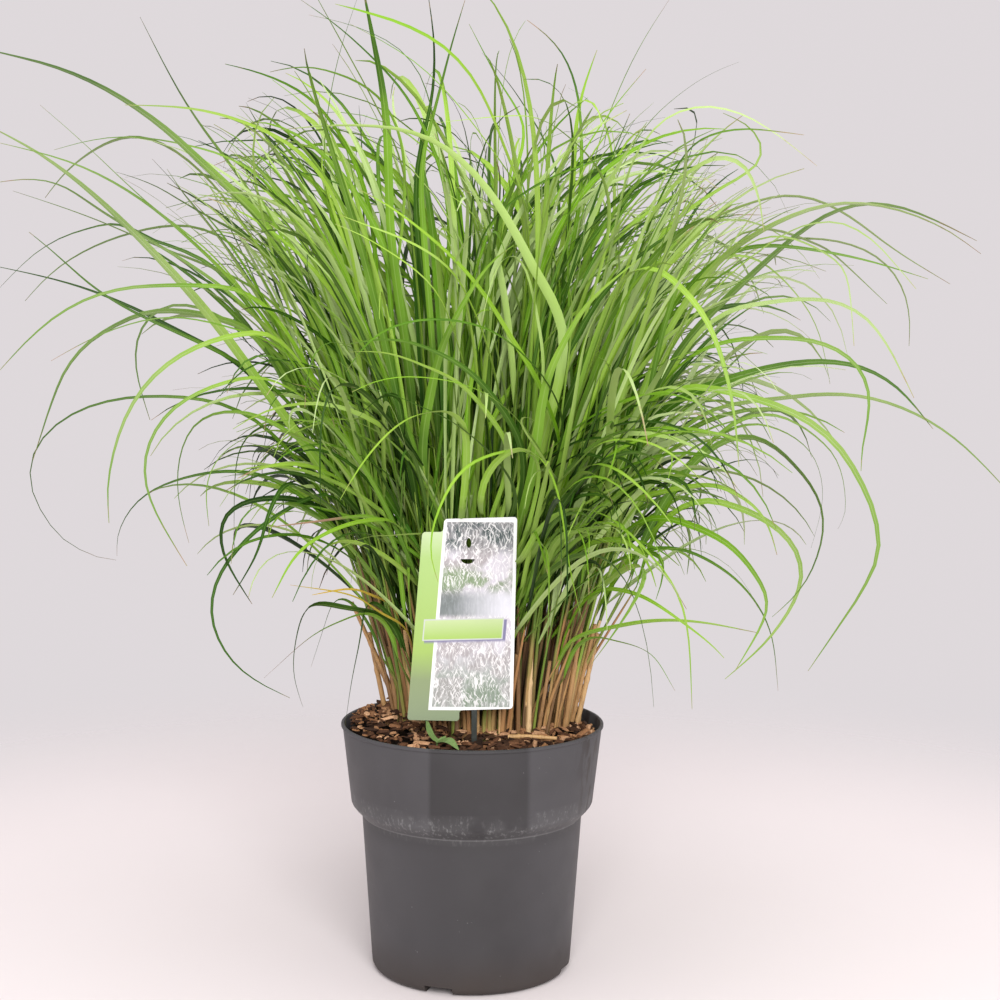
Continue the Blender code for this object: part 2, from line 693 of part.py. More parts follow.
def add_old_canes():
    """Last year's canes, cut off above the soil, with a swollen joint half way up."""
    trees = []
    for number, (angle, share, height, lean) in enumerate(OLD_CANES):
        x, y = cane_foot(angle, share)
        soil = soil_height(x, y)
        turn = math.radians(angle)
        outward = Vector((math.cos(turn) * lean, math.sin(turn) * lean, 0.0))
        shape = bmesh.new()
        joint, swollen = CANE_JOINT
        levels = (
            (soil - ROOTED_DEPTH, 1.0), (POCKET_TOP, 1.0),
            (soil + height * joint, swollen), (soil + height, CANE_TOP),
        )
        rings = []
        for level, width in levels:
            out = outward * max(0.0, level - POCKET_TOP)
            rings.append([
                shape.verts.new((x + out.x + px, y + out.y + py, level))
                for px, py in ring_points(CANE_RADIUS * width, CANE_SIDES)
            ])
        shape.faces.new(list(reversed(rings[0])))
        shape.faces.new(rings[-1])
        for near, far in zip(rings, rings[1:]):
            for a in range(CANE_SIDES):
                b = (a + 1) % CANE_SIDES
                shape.faces.new((near[a], near[b], far[b], far[a]))
        bmesh.ops.recalc_face_normals(shape, faces=shape.faces)
        trees.append(BVHTree.FromBMesh(shape))
        add_object(f"old_cane_{number + 1}", shape, "dry_cane")
    return trees


def add_loose_cane():
    """A short piece of cut cane that lies on the soil, at the right."""
    ends = [LOOSE_CANE_MIDDLE - LOOSE_CANE_HALF, LOOSE_CANE_MIDDLE + LOOSE_CANE_HALF]
    soil = max(soil_height(end.x, end.y) for end in ends)
    lift = Vector((0, 0, soil + SOIL_LUMP + LOOSE_CANE_RADIUS + GAP))
    shape = bmesh.new()
    along = (ends[1] - ends[0]).normalized()
    side = Vector((0, 0, 1)).cross(along)
    rings = []
    for end in ends:
        rings.append([
            shape.verts.new(end + lift + side * px + Vector((0, 0, py)))
            for px, py in ring_points(LOOSE_CANE_RADIUS, CANE_SIDES)
        ])
    shape.faces.new(list(reversed(rings[0])))
    shape.faces.new(rings[1])
    for a in range(CANE_SIDES):
        b = (a + 1) % CANE_SIDES
        shape.faces.new((rings[0][a], rings[0][b], rings[1][b], rings[1][a]))
    bmesh.ops.recalc_face_normals(shape, faces=shape.faces)
    tree = BVHTree.FromBMesh(shape)
    add_object("loose_cane", shape, "dry_cane")
    return tree


def add_label():
    """The printed card and the flat stake behind it that holds it up."""
    soil = soil_height(STAKE_X, LABEL_Y)
    shape = bmesh.new()
    front = [shape.verts.new((STAKE_X + x, LABEL_Y, soil + z)) for x, z in LABEL_OUTLINE]
    shape.faces.new(front)
    sharp = [front[0], front[1], front[3], front[4], front[5], front[7]]
    bmesh.ops.bevel(shape, geom=sharp, offset=LABEL_CORNER, segments=2, affect="VERTICES")
    face = shape.faces[:]
    grown = bmesh.ops.extrude_face_region(shape, geom=face)["geom"]
    moved = [item for item in grown if isinstance(item, bmesh.types.BMVert)]
    bmesh.ops.translate(shape, verts=moved, vec=(0, LABEL_THICKNESS, 0))
    bmesh.ops.recalc_face_normals(shape, faces=shape.faces)
    trees = [BVHTree.FromBMesh(shape)]
    add_object("label_card", shape, "label_print")

    stake = bmesh.new()
    prism(stake, stake_middle(), soil - STAKE_DEPTH, STAKE_TOP, stake_corners(0.0))
    trees.append(BVHTree.FromBMesh(stake))
    add_object("label_stake", stake, "label_stake")
    return trees


def add_seedling():
    """A small seedling at the front: a thin stem that ends in one flat leaf."""
    x, y = SEEDLING_FOOT
    ground = Vector((x, y, soil_height(x, y)))
    side = SEEDLING_FACING.normalized()
    up = Vector((0, 0, 1))
    half = SEEDLING_HALF
    low, fork = (ground + place for place in SEEDLING_STEM)
    shape = bmesh.new()
    foot = section(ground - up * SEEDLING_DEPTH, up, side, half, half)
    _, top = start_column(shape, foot, section(low, up, side, half, half))
    leaf = smooth_course([fork] + [ground + place for place in SEEDLING_LEAF], len(SEEDLING_WIDTHS))
    sections = [section(fork, up, side, half, half)]
    for centre, along, width in zip(leaf[1:], directions(leaf)[1:], SEEDLING_WIDTHS):
        sections.append(section(centre, along, SEEDLING_ACROSS, width, SEEDLING_THICKNESS))
    rings = extrude_sections(shape, top, sections)
    split_flats(shape, rings)
    bmesh.ops.recalc_face_normals(shape, faces=shape.faces)
    tree = BVHTree.FromBMesh(shape)
    add_object("seedling", shape, "seedling_leaf")
    return tree


def stake_corners(extra):
    """Corners of the stake's section about its middle, grown by extra all round."""
    half = (STAKE_WIDTH / 2 + extra, STAKE_THICKNESS / 2 + extra)
    return [(-half[0], -half[1]), (half[0], -half[1]), (half[0], half[1]), (-half[0], half[1])]


def stake_middle():
    """Where the stake stands, close behind the card."""
    return STAKE_X, LABEL_Y + LABEL_THICKNESS + GAP + STAKE_THICKNESS / 2


def cut_pockets(medium, grown):
    """Cuts a pocket into the growing medium for each shoot, cane, stake and stem in it."""
    pockets = bmesh.new()
    for angle, share, _, _ in OLD_CANES:
        x, y = cane_foot(angle, share)
        low = soil_height(x, y) - ROOTED_DEPTH - GAP
        around = ring_points((CANE_RADIUS + GAP) * math.sqrt(2), 4)
        prism(pockets, (x, y), low, CUTTER_TOP, around)
    low = soil_height(STAKE_X, LABEL_Y) - STAKE_DEPTH - GAP
    prism(pockets, stake_middle(), low, CUTTER_TOP, stake_corners(GAP))
    low = soil_height(*SEEDLING_FOOT) - SEEDLING_DEPTH - GAP
    around = square_points(SEEDLING_FACING, SEEDLING_HALF + GAP)
    prism(pockets, SEEDLING_FOOT, low, CUTTER_TOP, around)
    for shoot in grown:
        low = soil_height(*shoot.spot) - ROOTED_DEPTH - GAP
        around = square_points(shoot.facing(), CULM_HALF + GAP)
        prism(pockets, shoot.spot, low, CUTTER_TOP, around)
    add_cutter(medium, pockets, "pocket_cutter")


def main():
    """Builds the whole object, the fixed parts before the shoots that grow round them."""
    clear_scene()
    add_pot()
    medium = add_growing_medium()
    taken = [add_seedling(), add_loose_cane()] + add_label() + add_old_canes()
    view = bpy.context.evaluated_depsgraph_get()
    taken.append(BVHTree.FromObject(bpy.data.objects["pot"], view))
    cut_pockets(medium, add_shoots(taken))


main()
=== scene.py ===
"""Looks of a potted miscanthus grass clump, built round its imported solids.

Metres, +Z up. The pot stands at the origin and the label faces -Y. Every piece is one
finished mesh at the origin, dressed with procedural materials.
"""

import logging
import math
import random
from dataclasses import dataclass, field
from enum import Enum

import bpy
import numpy as np
from mathutils import Matrix, Vector


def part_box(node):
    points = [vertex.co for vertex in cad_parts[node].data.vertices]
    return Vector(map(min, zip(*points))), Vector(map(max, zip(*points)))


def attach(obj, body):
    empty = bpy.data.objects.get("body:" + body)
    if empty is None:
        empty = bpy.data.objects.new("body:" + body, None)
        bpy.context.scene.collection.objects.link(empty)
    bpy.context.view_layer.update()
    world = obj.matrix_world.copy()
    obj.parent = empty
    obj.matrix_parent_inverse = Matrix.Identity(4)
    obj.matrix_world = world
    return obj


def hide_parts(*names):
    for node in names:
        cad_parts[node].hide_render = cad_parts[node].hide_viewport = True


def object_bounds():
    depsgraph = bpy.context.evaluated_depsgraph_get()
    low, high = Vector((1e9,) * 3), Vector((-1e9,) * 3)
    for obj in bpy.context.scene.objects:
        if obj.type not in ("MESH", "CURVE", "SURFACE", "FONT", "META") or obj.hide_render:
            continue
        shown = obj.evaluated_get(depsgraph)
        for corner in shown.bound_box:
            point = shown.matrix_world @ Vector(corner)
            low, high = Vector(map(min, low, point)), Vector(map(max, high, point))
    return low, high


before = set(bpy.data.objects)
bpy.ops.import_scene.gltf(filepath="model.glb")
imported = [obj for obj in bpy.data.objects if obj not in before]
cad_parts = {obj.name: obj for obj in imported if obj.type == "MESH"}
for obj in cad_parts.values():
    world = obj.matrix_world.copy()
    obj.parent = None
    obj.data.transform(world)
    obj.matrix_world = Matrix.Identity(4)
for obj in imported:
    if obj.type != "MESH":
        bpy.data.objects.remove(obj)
CAD_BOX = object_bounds()

LOG = logging.getLogger("clump")
ROOT = "root"
SEED = 29

# The camera, worked out from the photograph's rule, rim and base
FOCAL_PIXELS = 1776
PHOTO_SIDE = 1000
EYE = Vector((0.029, -1.95, 0.708))
PITCH = math.radians(5.4)
ROLL = math.radians(0.4)

Piece = bpy.types.Object
Material = bpy.types.Material
Pair = tuple[float, float]
Triple = tuple[float, float, float]
Colour = Triple
Stops = tuple[tuple[float, Colour], ...]


# Small helpers for meshes


def deselect() -> None:
    """Leaves nothing selected, so that an operator acts on the new piece alone."""
    for thing in bpy.context.selected_objects:
        thing.select_set(False)


def pick(piece: Piece) -> None:
    """Makes a piece the only selected one and the active one."""
    deselect()
    bpy.context.view_layer.objects.active = piece
    piece.select_set(True)


def take_active(name: str) -> Piece:
    """Names the new active object and its mesh.

    Args:
        name: The piece's name.

    Returns:
        The active object.
    """
    piece = bpy.context.active_object
    piece.name = name
    piece.data.name = name
    return piece


def apply_modifiers(piece: Piece) -> None:
    """Applies every modifier of a piece, in order.

    Args:
        piece: The object, which becomes the active one.
    """
    pick(piece)
    for modifier in list(piece.modifiers):
        bpy.ops.object.modifier_apply(modifier=modifier.name)


def settle(piece: Piece, angle: float) -> None:
    """Puts a piece's place into its mesh, points its faces out and shades it smooth.

    Args:
        piece: The finished object.
        angle: Degrees past which an edge stays sharp.
    """
    pick(piece)
    bpy.ops.object.transform_apply(location=True, rotation=True, scale=True)
    bpy.ops.object.mode_set(mode="EDIT")
    bpy.ops.mesh.select_all(action="SELECT")
    bpy.ops.mesh.remove_doubles(threshold=0.000001)
    bpy.ops.mesh.normals_make_consistent(inside=False)
    bpy.ops.object.mode_set(mode="OBJECT")
    bpy.ops.object.shade_smooth_by_angle(angle=math.radians(angle))


def cut_away(piece: Piece, cutter: Piece) -> None:
    """Cuts one object's form out of a piece, and removes the cutter.

    Args:
        piece: The object that is cut.
        cutter: The form that goes.
    """
    cut = piece.modifiers.new("cut", "BOOLEAN")
    cut.operation = "DIFFERENCE"
    cut.object = cutter
    apply_modifiers(piece)
    bpy.data.objects.remove(cutter, do_unlink=True)


def turn_up(name: str, sides: int, foot: Pair, outline: list[Pair]) -> Piece:
    """Raises a round form ring by ring from a disc, and stays in edit mode on its last ring.

    Args:
        name: The piece's name.
        sides: Corners of a ring.
        foot: The disc's radius and height.
        outline: Pairs of radius and height of the rings above it.

    Returns:
        The round form.
    """
    deselect()
    radius, height = foot
    bpy.ops.mesh.primitive_circle_add(
        vertices=sides, radius=radius, fill_type="NGON", location=(0, 0, height))
    piece = take_active(name)
    bpy.ops.object.mode_set(mode="EDIT")
    bpy.ops.mesh.select_mode(type="EDGE")
    bpy.ops.mesh.select_all(action="SELECT")
    for next_radius, next_height in outline:
        bpy.ops.mesh.extrude_edges_move(
            TRANSFORM_OT_translate={"value": (0, 0, next_height - height)})
        scale = next_radius / radius
        bpy.ops.transform.resize(value=(scale, scale, 1), center_override=(0, 0, next_height))
        radius, height = next_radius, next_height
    return piece


def box_corners(node: str) -> tuple[Vector, Vector]:
    """The low and the high corner of a solid's box."""
    low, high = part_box(node)
    return Vector(low), Vector(high)


def mesh_piece(name: str, points: np.ndarray, faces: np.ndarray) -> Piece:
    """Makes an object from arrays of points and four-cornered faces.

    Args:
        name: The piece's name.
        points: One row of x, y and z per corner.
        faces: One row of four point numbers per face.

    Returns:
        The new object, linked to the scene.
    """
    mesh = bpy.data.meshes.new(name)
    mesh.vertices.add(len(points))
    mesh.vertices.foreach_set("co", points.astype(np.float32).ravel())
    mesh.loops.add(faces.size)
    mesh.loops.foreach_set("vertex_index", faces.astype(np.int32).ravel())
    mesh.polygons.add(len(faces))
    starts = np.arange(0, faces.size, faces.shape[1], dtype=np.int32)
    mesh.polygons.foreach_set("loop_start", starts)
    mesh.update(calc_edges=True)
    mesh.validate()
    piece = bpy.data.objects.new(name, mesh)
    bpy.context.scene.collection.objects.link(piece)
    return piece


def soft_noise(x: float, y: float) -> float:
    """A smooth bumpy value between about -1 and 1 for a place on the soil."""
    return (
        0.5 * math.sin(61 * x + 23 * y + 0.7) * math.cos(47 * y - 31 * x)
        + 0.3 * math.sin(137 * x - 89 * y + 2.1)
        + 0.2 * math.cos(211 * y + 173 * x)
    )


def photo_point(across: float, down: float, depth: float) -> Vector:
    """The place at a depth that shows at a pixel of the photograph.

    Args:
        across: Pixels from the left edge.
        down: Pixels from the top edge.
        depth: Metres behind the pot's axis.

    Returns:
        The place, in the model's frame.
    """
    a = (across - PHOTO_SIDE / 2) / FOCAL_PIXELS
    b = (PHOTO_SIDE / 2 - down) / FOCAL_PIXELS
    right = a * math.cos(ROLL) - b * math.sin(ROLL)
    up = a * math.sin(ROLL) + b * math.cos(ROLL)
    ray = Vector((
        right,
        math.cos(PITCH) + up * math.sin(PITCH),
        up * math.cos(PITCH) - math.sin(PITCH),
    ))
    return EYE + ray * ((depth - EYE.y) / ray.y)


def photo_pixels(course: np.ndarray) -> np.ndarray:
    """Where places show in the photograph.

    Args:
        course: One row of x, y and z per place.

    Returns:
        One row of pixels from the left and from the top per place.
    """
    off = course - np.array(EYE)
    ahead = off[:, 1] * math.cos(PITCH) - off[:, 2] * math.sin(PITCH)
    right = off[:, 0] / ahead
    up = (off[:, 1] * math.sin(PITCH) + off[:, 2] * math.cos(PITCH)) / ahead
    a = right * math.cos(ROLL) + up * math.sin(ROLL)
    b = up * math.cos(ROLL) - right * math.sin(ROLL)
    return PHOTO_SIDE / 2 + FOCAL_PIXELS * np.stack([a, -b], axis=1)


# Shader maths


class Sock:
    """A shader value that takes part in Python expressions."""

    def __init__(self, graph: "Graph", socket: bpy.types.NodeSocket) -> None:
        """Wraps a socket of a graph."""
        self.graph = graph
        self.socket = socket

    def math(self, operation: str, *others: "Sock | float") -> "Sock":
        """The result of a Math node whose first input is this value."""
        values = dict(enumerate((self, *others)))
        return self.graph.add("ShaderNodeMath", {"operation": operation}, values)

    def __add__(self, other: "Sock | float") -> "Sock":
        """This value plus another."""
        return self.math("ADD", other)

    __radd__ = __add__

    def __sub__(self, other: "Sock | float") -> "Sock":
        """This value less another."""
        return self.math("SUBTRACT", other)

    def __rsub__(self, other: float) -> "Sock":
        """A number less this value."""
        return self.graph.add("ShaderNodeMath", {"operation": "SUBTRACT"}, {0: other, 1: self})

    def __mul__(self, other: "Sock | float") -> "Sock":
        """This value times another."""
        return self.math("MULTIPLY", other)

    __rmul__ = __mul__

    def __truediv__(self, other: "Sock | float") -> "Sock":
        """This value divided by another."""
        return self.math("DIVIDE", other)

    def __pow__(self, other: "Sock | float") -> "Sock":
        """This value to a power."""
        return self.math("POWER", other)

    def clamped(self) -> "Sock":
        """This value held between 0 and 1."""
        return self.graph.add("ShaderNodeClamp", {}, {"Value": self})

    def step(self, low: float, high: float) -> "Sock":
        """A smooth step from 0 at low to 1 at high."""
        values = {"Value": self, "From Min": low, "From Max": high}
        return self.graph.add("ShaderNodeMapRange", {"interpolation_type": "SMOOTHSTEP"}, values)

    def part(self, name: str) -> "Sock":
        """Another output of the node that this value comes from."""
        return Sock(self.graph, self.socket.node.outputs[name])


class Graph:
    """A material's nodes, added one at a time by type, settings and inputs."""

    def __init__(self, name: str) -> None:
        """Starts an empty material of that name."""
        self.material = bpy.data.materials.new(name)
        self.material.use_nodes = True
        self.tree = self.material.node_tree
        self.shader = self.tree.nodes["Principled BSDF"]

    def feed(self, socket: bpy.types.NodeSocket, value: "Sock | Colour | float") -> None:
        """Gives an input its value: a link, a colour or a number.

        Args:
            socket: The input.
            value: What it gets.
        """
        if isinstance(value, Sock):
            self.tree.links.new(value.socket, socket)
        elif socket.type == "RGBA":
            socket.default_value = (*value, 1.0)
        else:
            socket.default_value = value

    def add(self, kind: str, settings: dict, values: dict, output: int | str = 0) -> Sock:
        """Adds a node.

        Args:
            kind: The node's type.
            settings: Its properties, set first.
            values: Numbers, colours or other values for its inputs, by name or number.
            output: The output to hand back.

        Returns:
            The chosen output.
        """
        node = self.tree.nodes.new(kind)
        for name, value in settings.items():
            setattr(node, name, value)
        for name, value in values.items():
            self.feed(node.inputs[name], value)
        if isinstance(output, str):
            return Sock(self, node.outputs[output])
        live = [one for one in node.outputs if one.enabled]
        return Sock(self, live[output])

    def place(self) -> Sock:
        """The place on the object, in metres."""
        return self.add("ShaderNodeTexCoord", {}, {}, "Object")

    def attribute(self, name: str) -> Sock:
        """A number stored on the mesh under that name."""
        return self.add("ShaderNodeAttribute", {"attribute_name": name}, {}, "Fac")

    def axes(self, vector: Sock) -> tuple[Sock, Sock, Sock]:
        """The three numbers of a vector."""
        split = self.add("ShaderNodeSeparateXYZ", {}, {0: vector}, "X")
        return split, split.part("Y"), split.part("Z")

    def noise(self, where: Sock, scale: float, detail: float = 3.0, rough: float = 0.55) -> Sock:
        """Noise between 0 and 1: bumps per metre, finer octaves and how strong these are."""
        values = {"Vector": where, "Scale": scale, "Detail": detail, "Roughness": rough}
        return self.add("ShaderNodeTexNoise", {}, values, "Fac")

    def stretched(self, where: Sock, scale: Triple) -> Sock:
        """Coordinates scaled by axis, for streaks."""
        return self.add("ShaderNodeMapping", {}, {"Vector": where, "Scale": scale})

    def mix(self, share: Sock, first: "Sock | Colour", second: "Sock | Colour") -> Sock:
        """Mixes two colours.

        Args:
            share: How much of the second shows.
            first: The first colour.
            second: The second colour.

        Returns:
            The mixed colour.
        """
        node = self.tree.nodes.new("ShaderNodeMix")
        node.data_type = "RGBA"
        for number, value in ((0, share), (6, first), (7, second)):
            self.feed(node.inputs[number], value)
        return Sock(self, node.outputs[2])

    def ramp(self, value: Sock, stops: Stops) -> Sock:
        """A colour that runs through stops.

        Args:
            value: The place along the ramp, from 0 to 1.
            stops: Places and their colours, in order.

        Returns:
            The colour.
        """
        node = self.tree.nodes.new("ShaderNodeValToRGB")
        while len(node.color_ramp.elements) < len(stops):
            node.color_ramp.elements.new(0.5)
        for element, (at, colour) in zip(node.color_ramp.elements, stops):
            element.position = at
            element.color = (*colour, 1.0)
        self.feed(node.inputs[0], value)
        return Sock(self, node.outputs[0])

    def bump(self, height: Sock, strength: float, distance: float) -> None:
        """Feeds a height to the normal: the share of its effect and the metres it stands for."""
        values = {"Height": height, "Strength": strength, "Distance": distance}
        self.feed(self.shader.inputs["Normal"], self.add("ShaderNodeBump", {}, values))

    def finish(self, colour: Sock, roughness: "Sock | float", **constants: float) -> Material:
        """Feeds the shader and sets its plain values.

        Args:
            colour: The base colour.
            roughness: Its roughness, a value or a number.
            constants: Plain values by socket name, with _ for a space.

        Returns:
            The finished material.
        """
        self.feed(self.shader.inputs["Base Color"], colour)
        self.feed(self.shader.inputs["Roughness"], roughness)
        for name, value in constants.items():
            self.feed(self.shader.inputs[name.replace("_", " ")], value)
        return self.material


# Finishes


@dataclass(frozen=True)
class PotPlastic:
    """Dark grey moulded plastic with lime scuffs, dust and soil stains.

    ridge is how far its middle is below the collar's foot, and its half height. shade is how far
    below the foot the shadow begins, is full, ends being full and ends.
    """

    grey: Colour = (0.052, 0.050, 0.054)
    brown: Colour = (0.0240, 0.0224, 0.0240)
    lime: Colour = (0.30, 0.30, 0.30)
    soil: Colour = (0.034, 0.023, 0.017)
    shadow: Colour = (0.026, 0.024, 0.025)
    stain: Colour = (0.015, 0.008, 0.005)
    collar_foot: float = 0.1875
    collar_step: Pair = (0.172, 0.186)
    panel: Pair = (-0.042, 0.061)
    scuff_height: float = 0.019
    ridge: Pair = (0.0128, 0.0014)
    shade: tuple[float, float, float, float] = (0.034, 0.0145, 0.0142, 0.0134)

    def material(self) -> Material:
        """The finished material."""
        g = Graph("pot_plastic")
        where = g.place()
        x, y, z = g.axes(where)
        cloud = g.noise(where, 9.0, 4.0)
        grain = g.noise(where, 900.0, 2.0)
        # the smooth brown panel in the collar's front, and the body's brown middle
        left, right = self.panel
        collar = z.step(*self.collar_step)
        panel = x.step(left - 0.004, left + 0.003) * (1 - x.step(right - 0.003, right + 0.004))
        panel = panel * (1 - y.step(-0.03, 0.0)) * collar
        middle = (1 - (x - 0.004).math("ABSOLUTE").step(0.020, 0.105)) * (1 - collar)
        browned = (panel * 0.88 + middle * 0.75 + cloud.step(0.45, 0.70) * 0.22).clamped()
        colour = g.mix(browned, self.grey, self.brown)
        foot = ((1 - z.step(0.0, 0.060)) * (0.45 + 0.5 * g.noise(where, 30.0, 4.0))).clamped()
        colour = g.mix(foot * 0.92, colour, self.soil)
        # lime scuffs at the collar's foot, the bright ridge under it and the shadow below
        beside = ((z - self.collar_foot + 0.001) / self.scuff_height).math("ABSOLUTE")
        near_collar = (1 - beside).clamped()
        flakes = g.noise(g.stretched(where, (1.0, 1.0, 0.45)), 260.0, 6.0, 0.7).step(0.52, 0.66)
        sides = x.math("ABSOLUTE").step(0.05, 0.10)
        patches = (g.noise(where, 22.0, 3.0).step(0.40, 0.56) + sides * 0.7).clamped()
        scuffs = near_collar ** 0.6 * patches * (flakes * 0.75 + 0.16)
        colour = g.mix(scuffs.clamped() * 0.52, colour, self.lime)
        down, half = self.ridge
        ridge = (1 - ((z - self.collar_foot + down) / half).math("ABSOLUTE")).clamped()
        colour = g.mix(ridge * 0.30, colour, self.lime)
        low, full, top, end = (self.collar_foot - below for below in self.shade)
        under = z.step(low, full) * (1 - z.step(top, end))
        colour = g.mix(under * 0.45, colour, self.shadow)
        specks = g.noise(where, 330.0, 1.0).step(0.80, 0.83)
        colour = g.mix(specks * 0.5, colour, self.lime)
        runs = g.noise(g.stretched(where, (1, 1, 0.3)), 110.0, 5.0).step(0.50, 0.60)
        colour = g.mix(x.step(0.108, 0.134) * runs * 0.92, colour, self.stain)
        roughness = 0.46 + 0.16 * g.noise(where, 40.0, 3.0) + 0.2 * foot
        g.bump(grain * 0.5 + cloud * 0.5, 0.25, 0.0004)
        return g.finish(colour, roughness)


@dataclass(frozen=True)
class SoilFinish:
    """Dark moist potting soil with fine crumbs."""

    dark: Colour = (0.010, 0.006, 0.004)
    light: Colour = (0.045, 0.024, 0.014)

    def material(self) -> Material:
        """The finished material."""
        g = Graph("potting_soil")
        crumbs = g.noise(g.place(), 320.0, 6.0, 0.65)
        colour = g.mix(crumbs.step(0.42, 0.72), self.dark, self.light)
        g.bump(crumbs, 0.9, 0.002)
        return g.finish(colour, 0.95, Specular_IOR_Level=0.1)


@dataclass(frozen=True)
class BarkFinish:
    """Bark chips, each of its own brown, with a fine dark grain."""

    browns: Stops = (
        (0.0, (0.012, 0.006, 0.004)),
        (0.30, (0.042, 0.018, 0.009)),
        (0.55, (0.125, 0.054, 0.025)),
        (0.78, (0.340, 0.165, 0.075)),
        (1.0, (0.610, 0.360, 0.205)),
    )
    dark_grain: Colour = (0.045, 0.022, 0.012)

    def material(self) -> Material:
        """The finished material."""
        g = Graph("bark_chips")
        colour = g.ramp(g.attribute("tone"), self.browns)
        grain = g.noise(g.place(), 700.0, 4.0, 0.6)
        colour = g.mix((0.75 - grain).step(0.15, 0.55) * 0.55, colour, self.dark_grain)
        g.bump(grain, 0.7, 0.0008)
        return g.finish(colour, 0.82, Specular_IOR_Level=0.2)


@dataclass(frozen=True)
class BladeFinish:
    """Grass blade: green by its own tone and painted light and shade, pale midrib and veins, paler
    below, dry at the tip.
    """

    warm: Stops = (
        (0.0, (0.006, 0.024, 0.001)),
        (0.26, (0.025, 0.091, 0.001)),
        (0.50, (0.130, 0.288, 0.004)),
        (0.74, (0.255, 0.415, 0.036)),
        (1.0, (0.410, 0.520, 0.225)),
    )
    cool: Stops = (
        (0.0, (0.008, 0.032, 0.004)),
        (0.26, (0.027, 0.072, 0.011)),
        (0.50, (0.086, 0.146, 0.032)),
        (0.74, (0.182, 0.245, 0.086)),
        (1.0, (0.330, 0.395, 0.205)),
    )
    pale_warm: Colour = (0.330, 0.470, 0.130)
    pale_cool: Colour = (0.340, 0.410, 0.230)
    straw: Colour = (0.360, 0.230, 0.120)
    old_straw: Colour = (0.200, 0.130, 0.105)
    orange: Colour = (0.620, 0.330, 0.060)

    def material(self) -> Material:
        """The finished material."""
        g = Graph("grass_blade")
        where = g.place()
        across, along, _ = g.axes(g.add("ShaderNodeUVMap", {"uv_map": "UVMap"}, {}))
        x, y, height = g.axes(where)
        # each leaf's tone with painted light and shade: lighter at middle height and right, darker at
        # the top, left and back
        tone = g.attribute("tone") + (g.noise(where, 14.0, 2.0) - 0.5) * 0.30
        right = x.step(0.08, 0.38)
        level = height.step(0.50, 0.76) * 0.20 - height.step(0.90, 1.03) * 0.24 + right * 0.14
        tone = (tone + level - (x * -1.0).step(0.12, 0.42) * 0.12 - 0.04 - y * 0.20).clamped()
        outer = (x * x + y * y * 0.35).step(0.032, 0.130)
        cooled = outer * (0.7 - 0.1 * right)
        colour = g.mix(cooled, g.ramp(tone, self.warm), g.ramp(tone, self.cool))
        # paler below, a painted sheen where the face looks up, with veins and a rib
        pale = g.mix(outer, self.pale_warm, self.pale_cool)
        colour = g.mix(g.attribute("under") * tone * 0.28, colour, pale)
        painted_sheen = (g.attribute("lit") * (0.02 + 0.60 * tone)).clamped()
        colour = g.mix(painted_sheen, colour, pale)
        middle = (across - 0.5).math("ABSOLUTE")
        veins = (across * 38.0).math("SINE") * 0.5 + 0.5
        colour = g.mix(veins * tone * 0.19, colour, pale)
        rib = (1 - middle.step(0.035, 0.085)) * (1 - along.step(0.75, 1.0))
        colour = g.mix(rib * (0.10 + 0.46 * tone), colour, pale)
        # the dry tip, and a few leaves turned orange
        dry = g.attribute("dry")
        mottle = (g.noise(where, 120.0, 3.0) - 0.5) * 0.25
        browned = ((along + dry + mottle - 1.0) / 0.10).clamped() * dry.step(0.005, 0.03)
        straw = g.mix(g.noise(where, 60.0, 2.0), self.straw, self.old_straw)
        colour = g.mix(browned, colour, straw)
        turned = g.attribute("orange_and_shade") * (0.55 + 0.45 * g.noise(where, 18.0, 3.0))
        colour = g.mix(turned, colour, self.orange)
        roughness = 0.48 + 0.12 * g.noise(where, 45.0, 2.0) + 0.25 * browned
        g.bump(veins * 0.4 + rib * 0.6, 0.20, 0.00025)
        return g.finish(colour, roughness, Specular_IOR_Level=0.09)


@dataclass(frozen=True)
class SheathFinish:
    """Leaf sheaths round a culm: straw and brown at the foot, green further up, painted shade inside
    the crown.
    """

    greens: Stops = (
        (0.0, (0.045, 0.110, 0.008)),
        (0.5, (0.118, 0.215, 0.018)),
        (1.0, (0.255, 0.385, 0.045)),
    )
    straws: Stops = (
        (0.0, (0.240, 0.290, 0.045)),
        (0.30, (0.390, 0.245, 0.096)),
        (0.62, (0.400, 0.185, 0.075)),
        (1.0, (0.100, 0.046, 0.022)),
    )
    line: Colour = (0.480, 0.430, 0.180)
    fleck: Colour = (0.110, 0.055, 0.028)
    # painted shade for the culms deep in the crown
    inner: Colour = (0.020, 0.011, 0.006)

    def material(self) -> Material:
        """The finished material."""
        g = Graph("leaf_sheath")
        where = g.place()
        _, _, z = g.axes(where)
        around, _, _ = g.axes(g.add("ShaderNodeUVMap", {"uv_map": "UVMap"}, {}))
        wander = (g.noise(g.stretched(where, (1, 1, 0.35)), 60.0, 2.0) - 0.5) * 0.14
        low = 1 - (z - 0.215 + wander - 0.21 * g.attribute("dry")).step(0.010, 0.095)
        # painted shade on the culms deep in the crown, below the leaves
        shaded = g.attribute("orange_and_shade") * (1 - z.step(0.31, 0.46))
        green = g.ramp(g.attribute("tone"), self.greens)
        colour = g.mix(low, green, g.ramp(g.attribute("dry"), self.straws))
        lines = (around * 44.0).math("SINE") * 0.5 + 0.5
        colour = g.mix(lines * 0.16, colour, self.line)
        flecks = g.noise(g.stretched(where, (1, 1, 0.2)), 260.0, 3.0).step(0.60, 0.72)
        colour = g.mix(flecks * low * 0.5, colour, self.fleck)
        colour = g.mix(shaded * 0.86, colour, self.inner)
        g.bump(lines, 0.35, 0.0003)
        return g.finish(colour, 0.55, Specular_IOR_Level=0.25)


